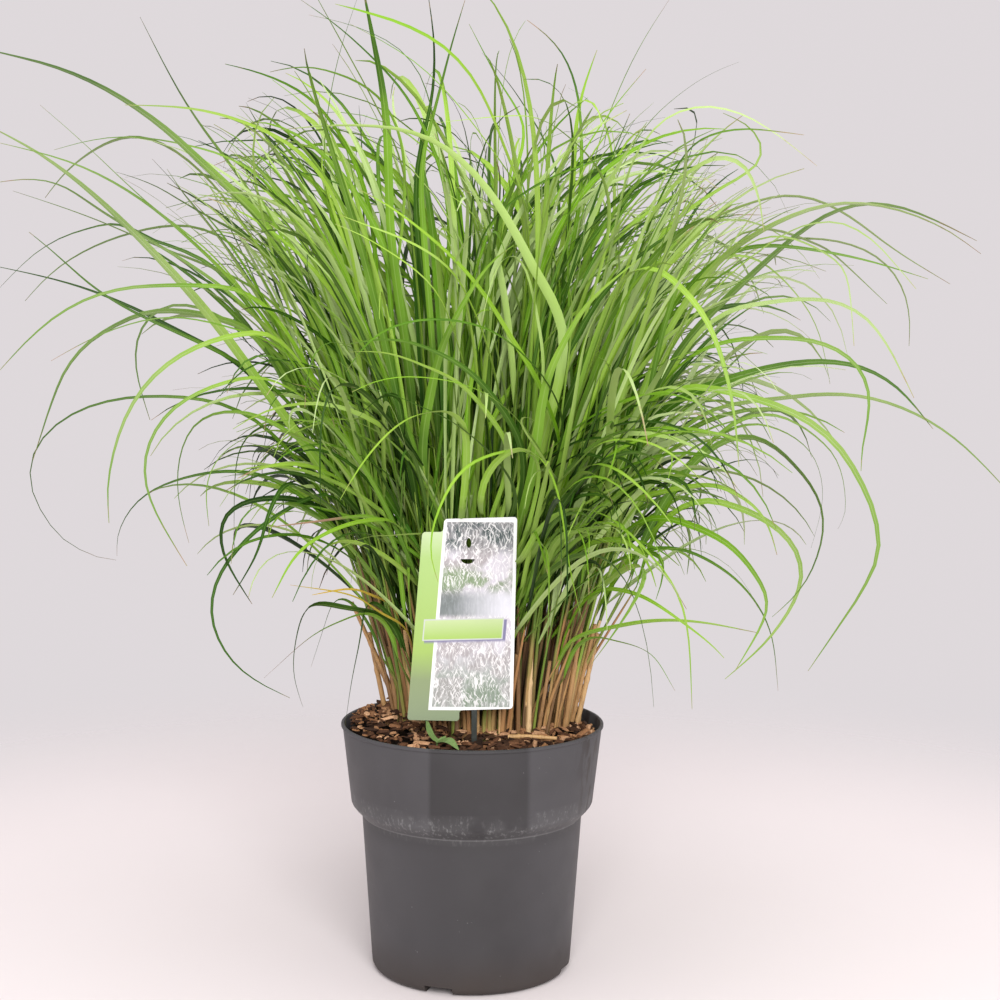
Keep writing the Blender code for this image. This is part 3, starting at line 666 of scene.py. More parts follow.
@dataclass(frozen=True)
class CaneFinish:
    """Old cut cane: tan with darker streaks."""

    tans: Stops = (
        (0.0, (0.170, 0.085, 0.040)),
        (0.45, (0.430, 0.240, 0.090)),
        (0.8, (0.620, 0.400, 0.180)),
        (1.0, (0.760, 0.600, 0.360)),
    )
    streak: Colour = (0.160, 0.080, 0.040)

    def material(self) -> Material:
        """The finished material."""
        g = Graph("dry_cane")
        streaks = g.noise(g.stretched(g.place(), (1, 1, 0.12)), 420.0, 4.0).step(0.45, 0.70)
        colour = g.mix(streaks * 0.45, g.ramp(g.attribute("tone"), self.tans), self.streak)
        g.bump(streaks, 0.4, 0.0004)
        return g.finish(colour, 0.58)


@dataclass(frozen=True)
class StakePlastic:
    """Dark plastic with a fine cloudy variation."""

    colour: Colour = (0.020, 0.025, 0.021)
    worn: Colour = (0.046, 0.050, 0.044)
    roughness: float = 0.45

    def material(self) -> Material:
        """The finished material."""
        g = Graph("stake_plastic")
        cloud = g.noise(g.place(), 160.0, 4.0)
        colour = g.mix(cloud.step(0.40, 0.75) * 0.6, self.colour, self.worn)
        g.bump(cloud, 0.2, 0.0003)
        return g.finish(colour, self.roughness + 0.1 * cloud)


@dataclass(frozen=True)
class LeafletFinish:
    """A soft broad leaf, mottled in two greens."""

    deep: Colour = (0.075, 0.150, 0.036)
    fresh: Colour = (0.190, 0.280, 0.090)

    def material(self) -> Material:
        """The finished material."""
        g = Graph("seedling_leaf")
        cloud = g.noise(g.place(), 260.0, 3.0)
        colour = g.mix(cloud, self.deep, self.fresh)
        g.bump(cloud, 0.4, 0.0004)
        return g.finish(colour, 0.5)


@dataclass(frozen=True)
class CardPrint:
    """The card's print: a green edge, a pale streaky panel in a white border, a bare band."""

    left: float
    foot: float
    height: float
    panel_left: float = 0.0224
    panel_right: float = 0.1127
    panel_foot: float = 0.0117
    left_slope: float = 0.0794
    right_slope: float = 0.0155
    border: float = 0.0035
    band: tuple[float, float, float, float] = (0.0158, 0.1010, 0.0863, 0.1095)
    band_rise: float = 0.030
    band_frame: float = 0.0013
    band_shadow: float = 0.0042
    soft: float = 0.0003
    greens: Stops = (
        (0.0, (0.205, 0.255, 0.150)),
        (0.20, (0.208, 0.262, 0.130)),
        (0.34, (0.290, 0.420, 0.100)),
        (0.80, (0.340, 0.490, 0.165)),
        (1.0, (0.540, 0.610, 0.430)),
    )
    white: Colour = (0.78, 0.78, 0.77)
    frame_grey: Colour = (0.47, 0.49, 0.47)
    cast_shadow: Colour = (0.170, 0.160, 0.270)
    band_greens: tuple[Colour, Colour] = ((0.295, 0.450, 0.085), (0.440, 0.535, 0.280))
    ground: tuple[Colour, Colour] = ((0.330, 0.300, 0.310), (0.520, 0.490, 0.540))
    foot_green: Colour = (0.180, 0.230, 0.170)
    top_green: Colour = (0.030, 0.052, 0.050)
    meadow: Colour = (0.140, 0.230, 0.090)
    streak: Colour = (0.780, 0.760, 0.760)
    upright_streak: Colour = (0.780, 0.770, 0.780)
    calm_colours: tuple[Colour, Colour] = ((0.120, 0.145, 0.140), (0.620, 0.620, 0.670))

    def inside(self, x: Sock, z: Sock, box: tuple[float, float, float, float]) -> Sock:
        """A mask that is 1 inside a box on the card.

        Args:
            x: Metres to the right of the card's left edge.
            z: Metres above its foot.
            box: Left, right, low and high edge, in metres.

        Returns:
            The mask.
        """
        soft = self.soft
        left, right, low, high = box
        sides = x.step(left - soft, left + soft) * (1 - x.step(right - soft, right + soft))
        return sides * z.step(low - soft, low + soft) * (1 - z.step(high - soft, high + soft))

    def streaks(self, g: Graph, where: Sock, x: Sock, z: Sock, rise: Sock) -> Sock:
        """The picture: pale streaks on dark at the top, a plain band in the middle, streaks below.

        Args:
            g: The material's graph.
            where: The place on the card.
            x: Metres to the right of the card's left edge.
            z: Metres above its foot.
            rise: The share of its height.

        Returns:
            The picture's colour.
        """
        sway = (g.noise(where, 70.0, 2.0) - 0.5) * 0.016
        steep = g.add(
            "ShaderNodeCombineXYZ", {}, {"X": x - z * 0.38 + sway, "Y": z * 0.15, "Z": x * 0.3})
        slant = g.add(
            "ShaderNodeCombineXYZ", {}, {"X": x + z * 0.52 - sway, "Y": z * 0.13, "Z": x * 0.2})
        # three sets of pale streaks over a patchy ground
        first = g.noise(steep, 560.0, 3.0, 0.6).step(0.53, 0.62)
        second = g.noise(slant, 470.0, 3.0, 0.6).step(0.54, 0.63)
        upright = g.noise(g.stretched(where, (1.0, 1.0, 0.16)), 480.0, 3.0, 0.6).step(0.48, 0.66)
        patch = g.noise(where, 42.0, 2.0).step(0.42, 0.60)
        ground = g.mix(patch, *self.ground)
        low = (1 - rise.step(0.14, 0.40)) * (0.35 + 0.65 * patch)
        ground = g.mix(low, ground, self.foot_green)
        dark_top = rise.step(0.80, 0.88) * (0.5 + 0.5 * patch)
        ground = g.mix(dark_top, ground, self.top_green)
        grassy = rise.step(0.60, 0.66) * (1 - rise.step(0.72, 0.78)) * (1 - patch)
        ground = g.mix(grassy * 0.8, ground, self.meadow)
        image = g.mix((first + second).clamped() * 0.74, ground, self.streak)
        image = g.mix(upright * 0.20, image, self.upright_streak)
        # the plain band, dark at the left and lilac at the right
        calm = rise.step(0.50, 0.53) * (1 - rise.step(0.60, 0.67))
        drift = (upright * 0.10 + ((x - 0.048) / 0.055).clamped()).clamped()
        return g.mix(calm * 0.9, image, g.mix(drift, *self.calm_colours))

    def material(self) -> Material:
        """The finished material."""
        g = Graph("card_print")
        where = g.place()
        px, _, pz = g.axes(where)
        x, z = px - self.left, pz - self.foot
        rise = (z / self.height).clamped()
        # the panel and the picture in its white border
        from_left = x - self.panel_left - self.left_slope * (z - self.panel_foot)
        from_right = self.panel_right + self.right_slope * (z - self.panel_foot) - x
        panel = self.inside(from_left, z, (0.0, 0.2, self.panel_foot, 0.3))
        colour = g.mix(panel, g.ramp(rise, self.greens), self.white)
        border, top = self.border, self.height - 1.6 * self.border
        picture = self.inside(from_left, z, (border, 0.2, self.panel_foot + border, top))
        picture = picture * from_right.step(border - self.soft, border + self.soft)
        colour = g.mix(picture, colour, self.streaks(g, where, x, z, rise))
        # the bare band, with its frame and the shadow below it
        left, right, low, high = self.band
        along = x - self.left_slope * (z - low)
        level = z - self.band_rise * (x - left)
        edge, drop = self.band_frame, self.band_shadow
        cast = self.inside(along, level, (left + 0.002, right + 0.003, low - drop, high - 0.002))
        colour = g.mix(cast * level.step(low - drop, low), colour, self.cast_shadow)
        colour = g.mix(self.inside(along, level, self.band), colour, self.frame_grey)
        band = self.inside(along, level, (left + edge, right - edge, low + edge, high - edge))
        fade = ((level - low) / (high - low)).clamped()
        colour = g.mix(band, colour, g.mix(fade, *self.band_greens))
        g.bump(g.noise(where, 60.0, 2.0), 0.1, 0.0006)
        return g.finish(colour, 0.28, Coat_Weight=0.25)


# Pot


@dataclass
class Pot:
    """The collared nursery pot, turned from a base ring and cut by its drainage channels."""

    sides: int = 160
    wall: float = 0.0022
    base_radius: float = 0.1115
    rounding: float = 0.0090
    body_top: Pair = (0.1229, 0.1755)
    collar_foot: Pair = (0.1345, 0.1875)
    collar_top: Pair = (0.1442, 0.2723)
    channels: int = 4
    first_channel: float = math.radians(-107.8)
    channel_size: Triple = (0.060, 0.0310, 0.0088)
    channel_start: float = 0.0760
    drain_size: Triple = (0.0080, 0.0160, 0.020)
    drain_reach: float = 0.0900
    floor: float = 0.0120
    raised_floor: tuple[Pair, ...] = ((0.0710, 0.0120), (0.0670, 0.0030))
    finish: PotPlastic = PotPlastic()

    def outline(self, rim: float, top: float) -> list[Pair]:
        """The wall's outline from the edge of the base, up, over the lip and down inside.

        Args:
            rim: The lip's outer radius.
            top: The pot's height.

        Returns:
            Pairs of radius and height.
        """
        edge = self.rounding
        rounded = [
            (self.base_radius - edge + edge * math.sin(turn), edge - edge * math.cos(turn))
            for turn in (math.radians(15 * step) for step in range(1, 7))
        ]
        (body, body_top), (collar, collar_foot) = self.body_top, self.collar_foot
        neck = [
            (body - 0.0002, body_top - 0.0015),
            (body + 0.0012, body_top + 0.0004),
            (collar - 0.0040, collar_foot - 0.0050),
            (collar - 0.0010, collar_foot - 0.0012),
            (collar + 0.0002, collar_foot + 0.0016),
        ]
        inner_top = self.collar_top[0] - self.wall
        lip = [
            self.collar_top,
            (rim - 0.0008, top - 0.0040),
            (rim, top - 0.0030),
            (rim, top - 0.0012),
            (rim - 0.0010, top - 0.0002),
            (rim - 0.0022, top),
            (inner_top + 0.0006, top - 0.0003),
            (inner_top, top - 0.0014),
        ]
        inner_foot = self.base_radius - self.wall
        inside = [
            (collar - self.wall, collar_foot + 0.0010),
            (body - self.wall, body_top + 0.0010),
            (inner_foot, self.floor + 0.0020),
            (inner_foot - 0.0030, self.floor),
            *self.raised_floor,
        ]
        return rounded + neck + lip + inside

    def build(self) -> Piece:
        """Turns the wall ring by ring, and cuts the channels.

        Returns:
            The finished pot.
        """
        _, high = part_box("pot")
        foot = (self.base_radius - self.rounding, 0.0)
        pot = turn_up("pot_body", self.sides, foot, self.outline(high[0], high[2]))
        bpy.ops.mesh.edge_face_add()
        bpy.ops.object.mode_set(mode="OBJECT")
        for number in range(self.channels):
            self.cut_channel(pot, self.first_channel + math.tau * number / self.channels)
        settle(pot, 28)
        pot.data.materials.append(self.finish.material())
        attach(pot, ROOT)
        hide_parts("pot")
        return pot

    def cut_channel(self, pot: Piece, turn: float) -> None:
        """Cuts one drainage channel and its drain hole out of the base.

        Args:
            pot: The pot.
            turn: The channel's direction, in radians from +X.
        """
        length, width, height = self.channel_size
        for size, at, level in (
            ((length, width, 2 * height), self.channel_start + length / 2, 0.0),
            (self.drain_size, self.drain_reach, self.floor),
        ):
            deselect()
            bpy.ops.mesh.primitive_cube_add(
                size=1, location=(at * math.cos(turn), at * math.sin(turn), level),
                rotation=(0, 0, turn), scale=size)
            bpy.ops.object.transform_apply(location=True, rotation=True, scale=True)
            cut_away(pot, bpy.context.active_object)


# Growing medium and bark


@dataclass
class SoilBed:
    """The growing medium's plug and the bark chips that lie on it.

    A chip's length, width and thickness each have their least and what chance may add to it.
    heap_place is how far off the middle the heap begins, and the metres over which it rises.
    shelter is where the leaves keep the light out: its middle and half width across, and its back.
    Fewer chips are pale there, as painted shade.
    """

    edge_height: float = 0.2625
    mound: float = 0.0085
    chips: int = 1250
    heap: float = 0.0125
    rings: int = 44
    sides: int = 132
    foot_radius: float = 0.0660
    tilt: float = 0.0030
    heap_place: Pair = (0.015, 0.07)
    bumps: Pair = (0.0016, 0.0008)
    chip_lift: float = 0.0060
    shelter: Triple = (0.005, 0.050, -0.055)
    few_pale: float = 0.12
    many_pale: float = 0.42
    walls: tuple[Pair, ...] = (
        (0.0702, 0.0123), (0.1053, 0.0123), (0.1087, 0.0150), (0.1199, 0.1720), (0.1315, 0.1840))
    chip_size: tuple[Pair, ...] = (
        (0.0084, 0.0190), (0.0040, 0.0056), (0.0012, 0.0026))
    soil: SoilFinish = SoilFinish()
    bark: BarkFinish = BarkFinish()

    def __post_init__(self) -> None:
        """Reads the soil's foot and edge off its solid."""
        low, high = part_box("growing_medium")
        self.foot, self.edge = low[2], high[0]

    def height(self, x: float, y: float) -> float:
        """Height of the soil's surface, without its bumps.

        Args:
            x: Place across.
            y: Place in depth.

        Returns:
            Metres above the floor.
        """
        share = min(1.0, math.hypot(x, y) / self.edge)
        tilted = self.tilt * (y - x) / self.edge * (1 - share**4)
        start, rise = self.heap_place
        heaped = self.heap * min(1.0, max(0.0, (0.4 * y - x - start) / rise)) * (1 - share**24)
        return self.edge_height + self.mound * (1 - share**2) + tilted + heaped

    def build(self) -> list[Piece]:
        """Builds the soil and its chips."""
        return [self.build_plug(), self.build_chips()]

    def build_plug(self) -> Piece:
        """Turns the plug from its floor up, and raises the surface by its bumps.

        Returns:
            The soil.
        """
        edge = self.edge
        tops = [(edge * (1 - step / self.rings), self.edge_height) for step in range(1, self.rings)]
        outline = [*self.walls, (edge, self.edge_height - 0.001), *tops]
        plug = turn_up("potting_soil", self.sides, (self.foot_radius, self.foot), outline)
        coarse, fine = self.bumps
        bpy.ops.mesh.merge(type="CENTER")
        bpy.ops.object.mode_set(mode="OBJECT")
        for point in plug.data.vertices:
            x, y, z = point.co
            if z > self.edge_height - 0.0005:
                inner = min(1.0, (edge - math.hypot(x, y)) / 0.006)
                lump = coarse * soft_noise(x, y) + fine * soft_noise(5 * x, 5 * y)
                point.co.z = self.height(x, y) + lump * inner
        settle(plug, 60)
        plug.data.materials.append(self.soil.material())
        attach(plug, ROOT)
        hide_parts("growing_medium")
        return plug

    def build_chips(self) -> Piece:
        """Scatters flat bark chips over the soil, as one joined mesh.

        Returns:
            The chips.
        """
        chance = random.Random(SEED)
        points, faces, tones = [], [], []
        edge = self.edge - 0.003
        middle, half, back = self.shelter
        for _ in range(self.chips):
            reach = math.sqrt(chance.random()) * edge
            turn = chance.uniform(0, math.tau)
            x, y = reach * math.cos(turn), reach * math.sin(turn)
            big = chance.random() ** 2.2
            shares = (big, chance.random(), big)
            size = Vector([
                least + more * share for (least, more), share in zip(self.chip_size, shares)])
            lift = chance.random() ** 2 * self.chip_lift + size.z * 0.5
            spin = Matrix.Rotation(chance.uniform(0, math.tau), 3, "Z")
            tip = Matrix.Rotation(chance.gauss(0, 0.28), 3, "X")
            tip = tip @ Matrix.Rotation(chance.gauss(0, 0.24), 3, "Y")
            reach_out = math.hypot(x, y) + size.x / 2
            if reach_out > edge:
                x, y = x * edge / reach_out, y * edge / reach_out
            centre = Vector((x, y, self.height(x, y) + lift))
            start = len(points)
            for level in (-0.5, 0.5):
                shrink = 0.78 if level > 0 else 1.0
                for corner in range(6):
                    around = math.tau * corner / 6 + 0.25
                    ragged = chance.uniform(0.72, 1.12) * shrink
                    local = Vector((
                        math.cos(around) * size.x / 2 * ragged,
                        math.sin(around) * size.y / 2 * ragged,
                        level * size.z * chance.uniform(0.6, 1.3),
                    ))
                    points.append(centre + spin @ (tip @ local))
            faces += self.chip_faces(start)
            # under the leaves fewer chips are pale: painted shade
            in_painted_shade = y < back and abs(x - middle) < half
            pale = chance.random() < (self.few_pale if in_painted_shade else self.many_pale)
            tone = chance.uniform(0.70, 1.0) if pale else chance.triangular(0.0, 0.72, 0.34)
            tones += [tone] * (len(faces) - len(tones))
        chips = mesh_piece("bark_chips", np.array(points), np.array(faces))
        store(chips, "tone", tones)
        chips.data.shade_flat()
        chips.data.materials.append(self.bark.material())
        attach(chips, ROOT)
        return chips

    @staticmethod
    def chip_faces(start: int) -> list[list[int]]:
        """The ten four-cornered faces of a six-sided chip.

        Args:
            start: Number of the chip's first point.

        Returns:
            The faces' point numbers.
        """
        ends = [(6, 7, 8, 9), (6, 9, 10, 11), (3, 2, 1, 0), (5, 4, 3, 0)]
        sides = [(a, (a + 1) % 6, (a + 1) % 6 + 6, a + 6) for a in range(6)]
        return [[start + corner for corner in face] for face in ends + sides]


def store(piece: Piece, name: str, values: "np.ndarray | list[float]") -> None:
    """Stores one number per face on a piece's mesh, in the order of its faces."""
    layer = piece.data.attributes.new(name, "FLOAT", "FACE")
    layer.data.foreach_set("value", np.array(values, dtype=np.float32))


# Grass


class Tone(Enum):
    """How green a traced leaf is: its place on the blade ramp."""

    DARK = 0.13
    DEEP = 0.29
    MID = 0.44
    BRIGHT = 0.57
    LIT = 0.70


class Width(Enum):
    """Half width of a traced leaf, in metres."""

    FINE = 0.0015
    SLIM = 0.0022
    FULL = 0.0033
    WIDE = 0.0047


@dataclass(frozen=True)
class Habit:
    """How a kind of leaf grows, each as least, greatest and most common value.

    spread is its first lean in radians, droop the degrees it bends over, peak its greatest height.
    """

    spread: Triple
    droop: Triple
    peak: Triple


class Leaf(Enum):
    """The kinds of leaf on a shoot of the crowd."""

    TOP = Habit((0.03, 0.22, 0.09), (25, 140, 70), (0.78, 1.10, 1.01))
    SIDE = Habit((0.10, 0.66, 0.22), (25, 160, 80), (0.56, 1.08, 0.94))
    SKIRT = Habit((0.30, 1.00, 0.55), (55, 125, 90), (0.42, 0.76, 0.56))
    CROSS = Habit((0.45, 1.25, 0.80), (55, 130, 85), (0.55, 0.98, 0.78))


@dataclass(frozen=True)
class Trace:
    """A leaf read off the photograph.

    depth is how far behind the pot's axis its tip is, pixels run to the tip, dry is the share of
    its length that has browned there, and orange how far the whole leaf has turned.
    """

    depth: float
    width: Width
    tone: Tone
    pixels: tuple[tuple[int, int], ...]
    dry: float
    orange: float

    @property
    def broad(self) -> bool:
        """Whether it has one of the two greater widths."""
        return self.width in (Width.WIDE, Width.FULL)

    @property
    def leaves_top(self) -> bool:
        """Whether its tip reaches the photograph's upper edge."""
        return self.pixels[-1][1] < 5


def leaf(depth: float, width: Width, tone: Tone, *pixels: int, dry: float = 0.04,
         orange: float = 0.0) -> Trace:
    """A traced leaf out of one row of numbers, its pixels across and down by turns."""
    return Trace(depth, width, tone, tuple(zip(pixels[::2], pixels[1::2])), dry, orange)


# Short names for the rows below
D, E, M, B, L = Tone.DARK, Tone.DEEP, Tone.MID, Tone.BRIGHT, Tone.LIT
XS, S, F, W = Width.FINE, Width.SLIM, Width.FULL, Width.WIDE

# Top leaves of the shoots that are solids too, in the solids' order
SHOOT_TRACES = (
    # front
    leaf(-0.36, W, M, 625, 271, 690, 297, 715, 337, 733, 400, 739, 467),
    leaf(-0.33, F, B, 542, 526, 596, 509, 660, 566, 686, 615, 692, 709),
    leaf(-0.30, F, B, 480, 490, 518, 446, 553, 474, 570, 573, 582, 619),
    leaf(-0.30, S, B, 540, 460, 487, 456, 453, 479, 428, 543, 438, 582),
    leaf(-0.36, F, B, 466, 427, 423, 413, 390, 431, 360, 466, 340, 500),
    # right side, low and forward
    leaf(-0.25, S, M, 690, 320, 784, 233, 813, 224, 855, 221, 916, 289),
    leaf(-0.15, F, B, 700, 330, 775, 303, 829, 298, 873, 320, 914, 398, dry=0.08),
    leaf(0.18, S, M, 690, 420, 775, 400, 837, 393, 895, 404, 956, 438, 1018, 502, dry=0.08),
    leaf(-0.20, W, M, 650, 395, 750, 398, 802, 416, 844, 449, 881, 530, 881, 561, 808, 671),
    leaf(-0.05, F, B, 683, 504, 739, 508, 784, 532, 805, 575, 773, 635, 725, 679),
    # left side, from the top down
    leaf(0.12, F, M, 301, 290, 250, 192, 223, 156, 183, 100, 140, 17, dry=0.06),
    leaf(-0.05, W, M, 277, 241, 223, 185, 165, 127, 120, 97, 67, 69, -30, 46),
    leaf(-0.28, S, M, 234, 279, 156, 212, 112, 170, 74, 134, 40, 105, dry=0.06),
    leaf(-0.12, W, B, 250, 370, 194, 297, 138, 237, 89, 190, 31, 147, -20, 122),
    leaf(0.28, S, E, 223, 272, 156, 246, 125, 222, 103, 225, 45, 244, -8, 296),
    leaf(0.18, F, D, 252, 375, 196, 342, 156, 319, 96, 292, 45, 277, -25, 262),
    leaf(-0.22, F, M, 268, 306, 190, 287, 141, 286, 96, 293, 45, 322, 0, 370),
    leaf(-0.08, F, M, 257, 335, 237, 324, 170, 308, 143, 311, 83, 344, 62, 373, 33, 460, dry=0.07),
    leaf(0.05, S, M, 312, 480, 286, 447, 237, 407, 165, 396, 94, 403, 40, 436, 26, 484, 71, 551, 116,
         560, dry=0.07),
    leaf(-0.30, F, B, 286, 344, 246, 335, 201, 343, 156, 371, 125, 413, 105, 488, 109, 523),
    leaf(-0.12, S, E, 335, 492, 301, 504, 268, 520, 223, 566, 209, 616, 237, 669, 290, 698),
    # top
    leaf(-0.10, W, B, 406, 183, 393, 143, 380, 114, 362, 80, 341, 42, 310, -15),
    leaf(0.02, W, E, 391, 245, 389, 200, 386, 112, 380, 74, 373, 40, 363, -12),
    leaf(0.10, S, M, 326, 201, 327, 116, 333, 78, 341, 45, 358, -4),
    leaf(0.16, F, D, 415, 196, 431, 112, 435, 67, 434, 33, 428, -6),
    leaf(-0.02, F, E, 420, 179, 429, 134, 440, 89, 451, 45, 465, 0),
    leaf(-0.18, W, B, 529, 223, 513, 179, 489, 107, 460, 58, 415, 27, 335, 4),
    leaf(-0.20, W, L, 567, 341, 538, 281, 507, 216, 462, 158, 433, 138, 402, 127, 317, 125, 279, 130),
    leaf(0.28, S, D, 560, 201, 540, 134, 509, 83, 482, 53),
    leaf(0.10, W, B, 571, 201, 574, 143, 580, 98, 597, 50, dry=0.06),
    # right side, high
    leaf(0.15, S, M, 580, 230, 598, 145, 625, 76, 643, 40, 669, 0, dry=0.08),
    leaf(0.30, S, M, 600, 220, 638, 138, 656, 114, 701, 78, 739, 62, dry=0.05),
    leaf(-0.10, F, L, 615, 237, 627, 170, 654, 125, 685, 103, 737, 109, 763, 123, 817, 166, dry=0.09),
    leaf(-0.30, W, B, 638, 243, 672, 190, 692, 167, 723, 152, 743, 156, 760, 190, 764, 232),
    leaf(0.05, W, D, 672, 362, 706, 320, 762, 266, 820, 217, 869, 200, 918, 212, 977, 241, dry=0.09),
    leaf(0.30, S, M, 735, 262, 793, 239, 851, 243, 891, 266, 910, 306, 909, 346),
)

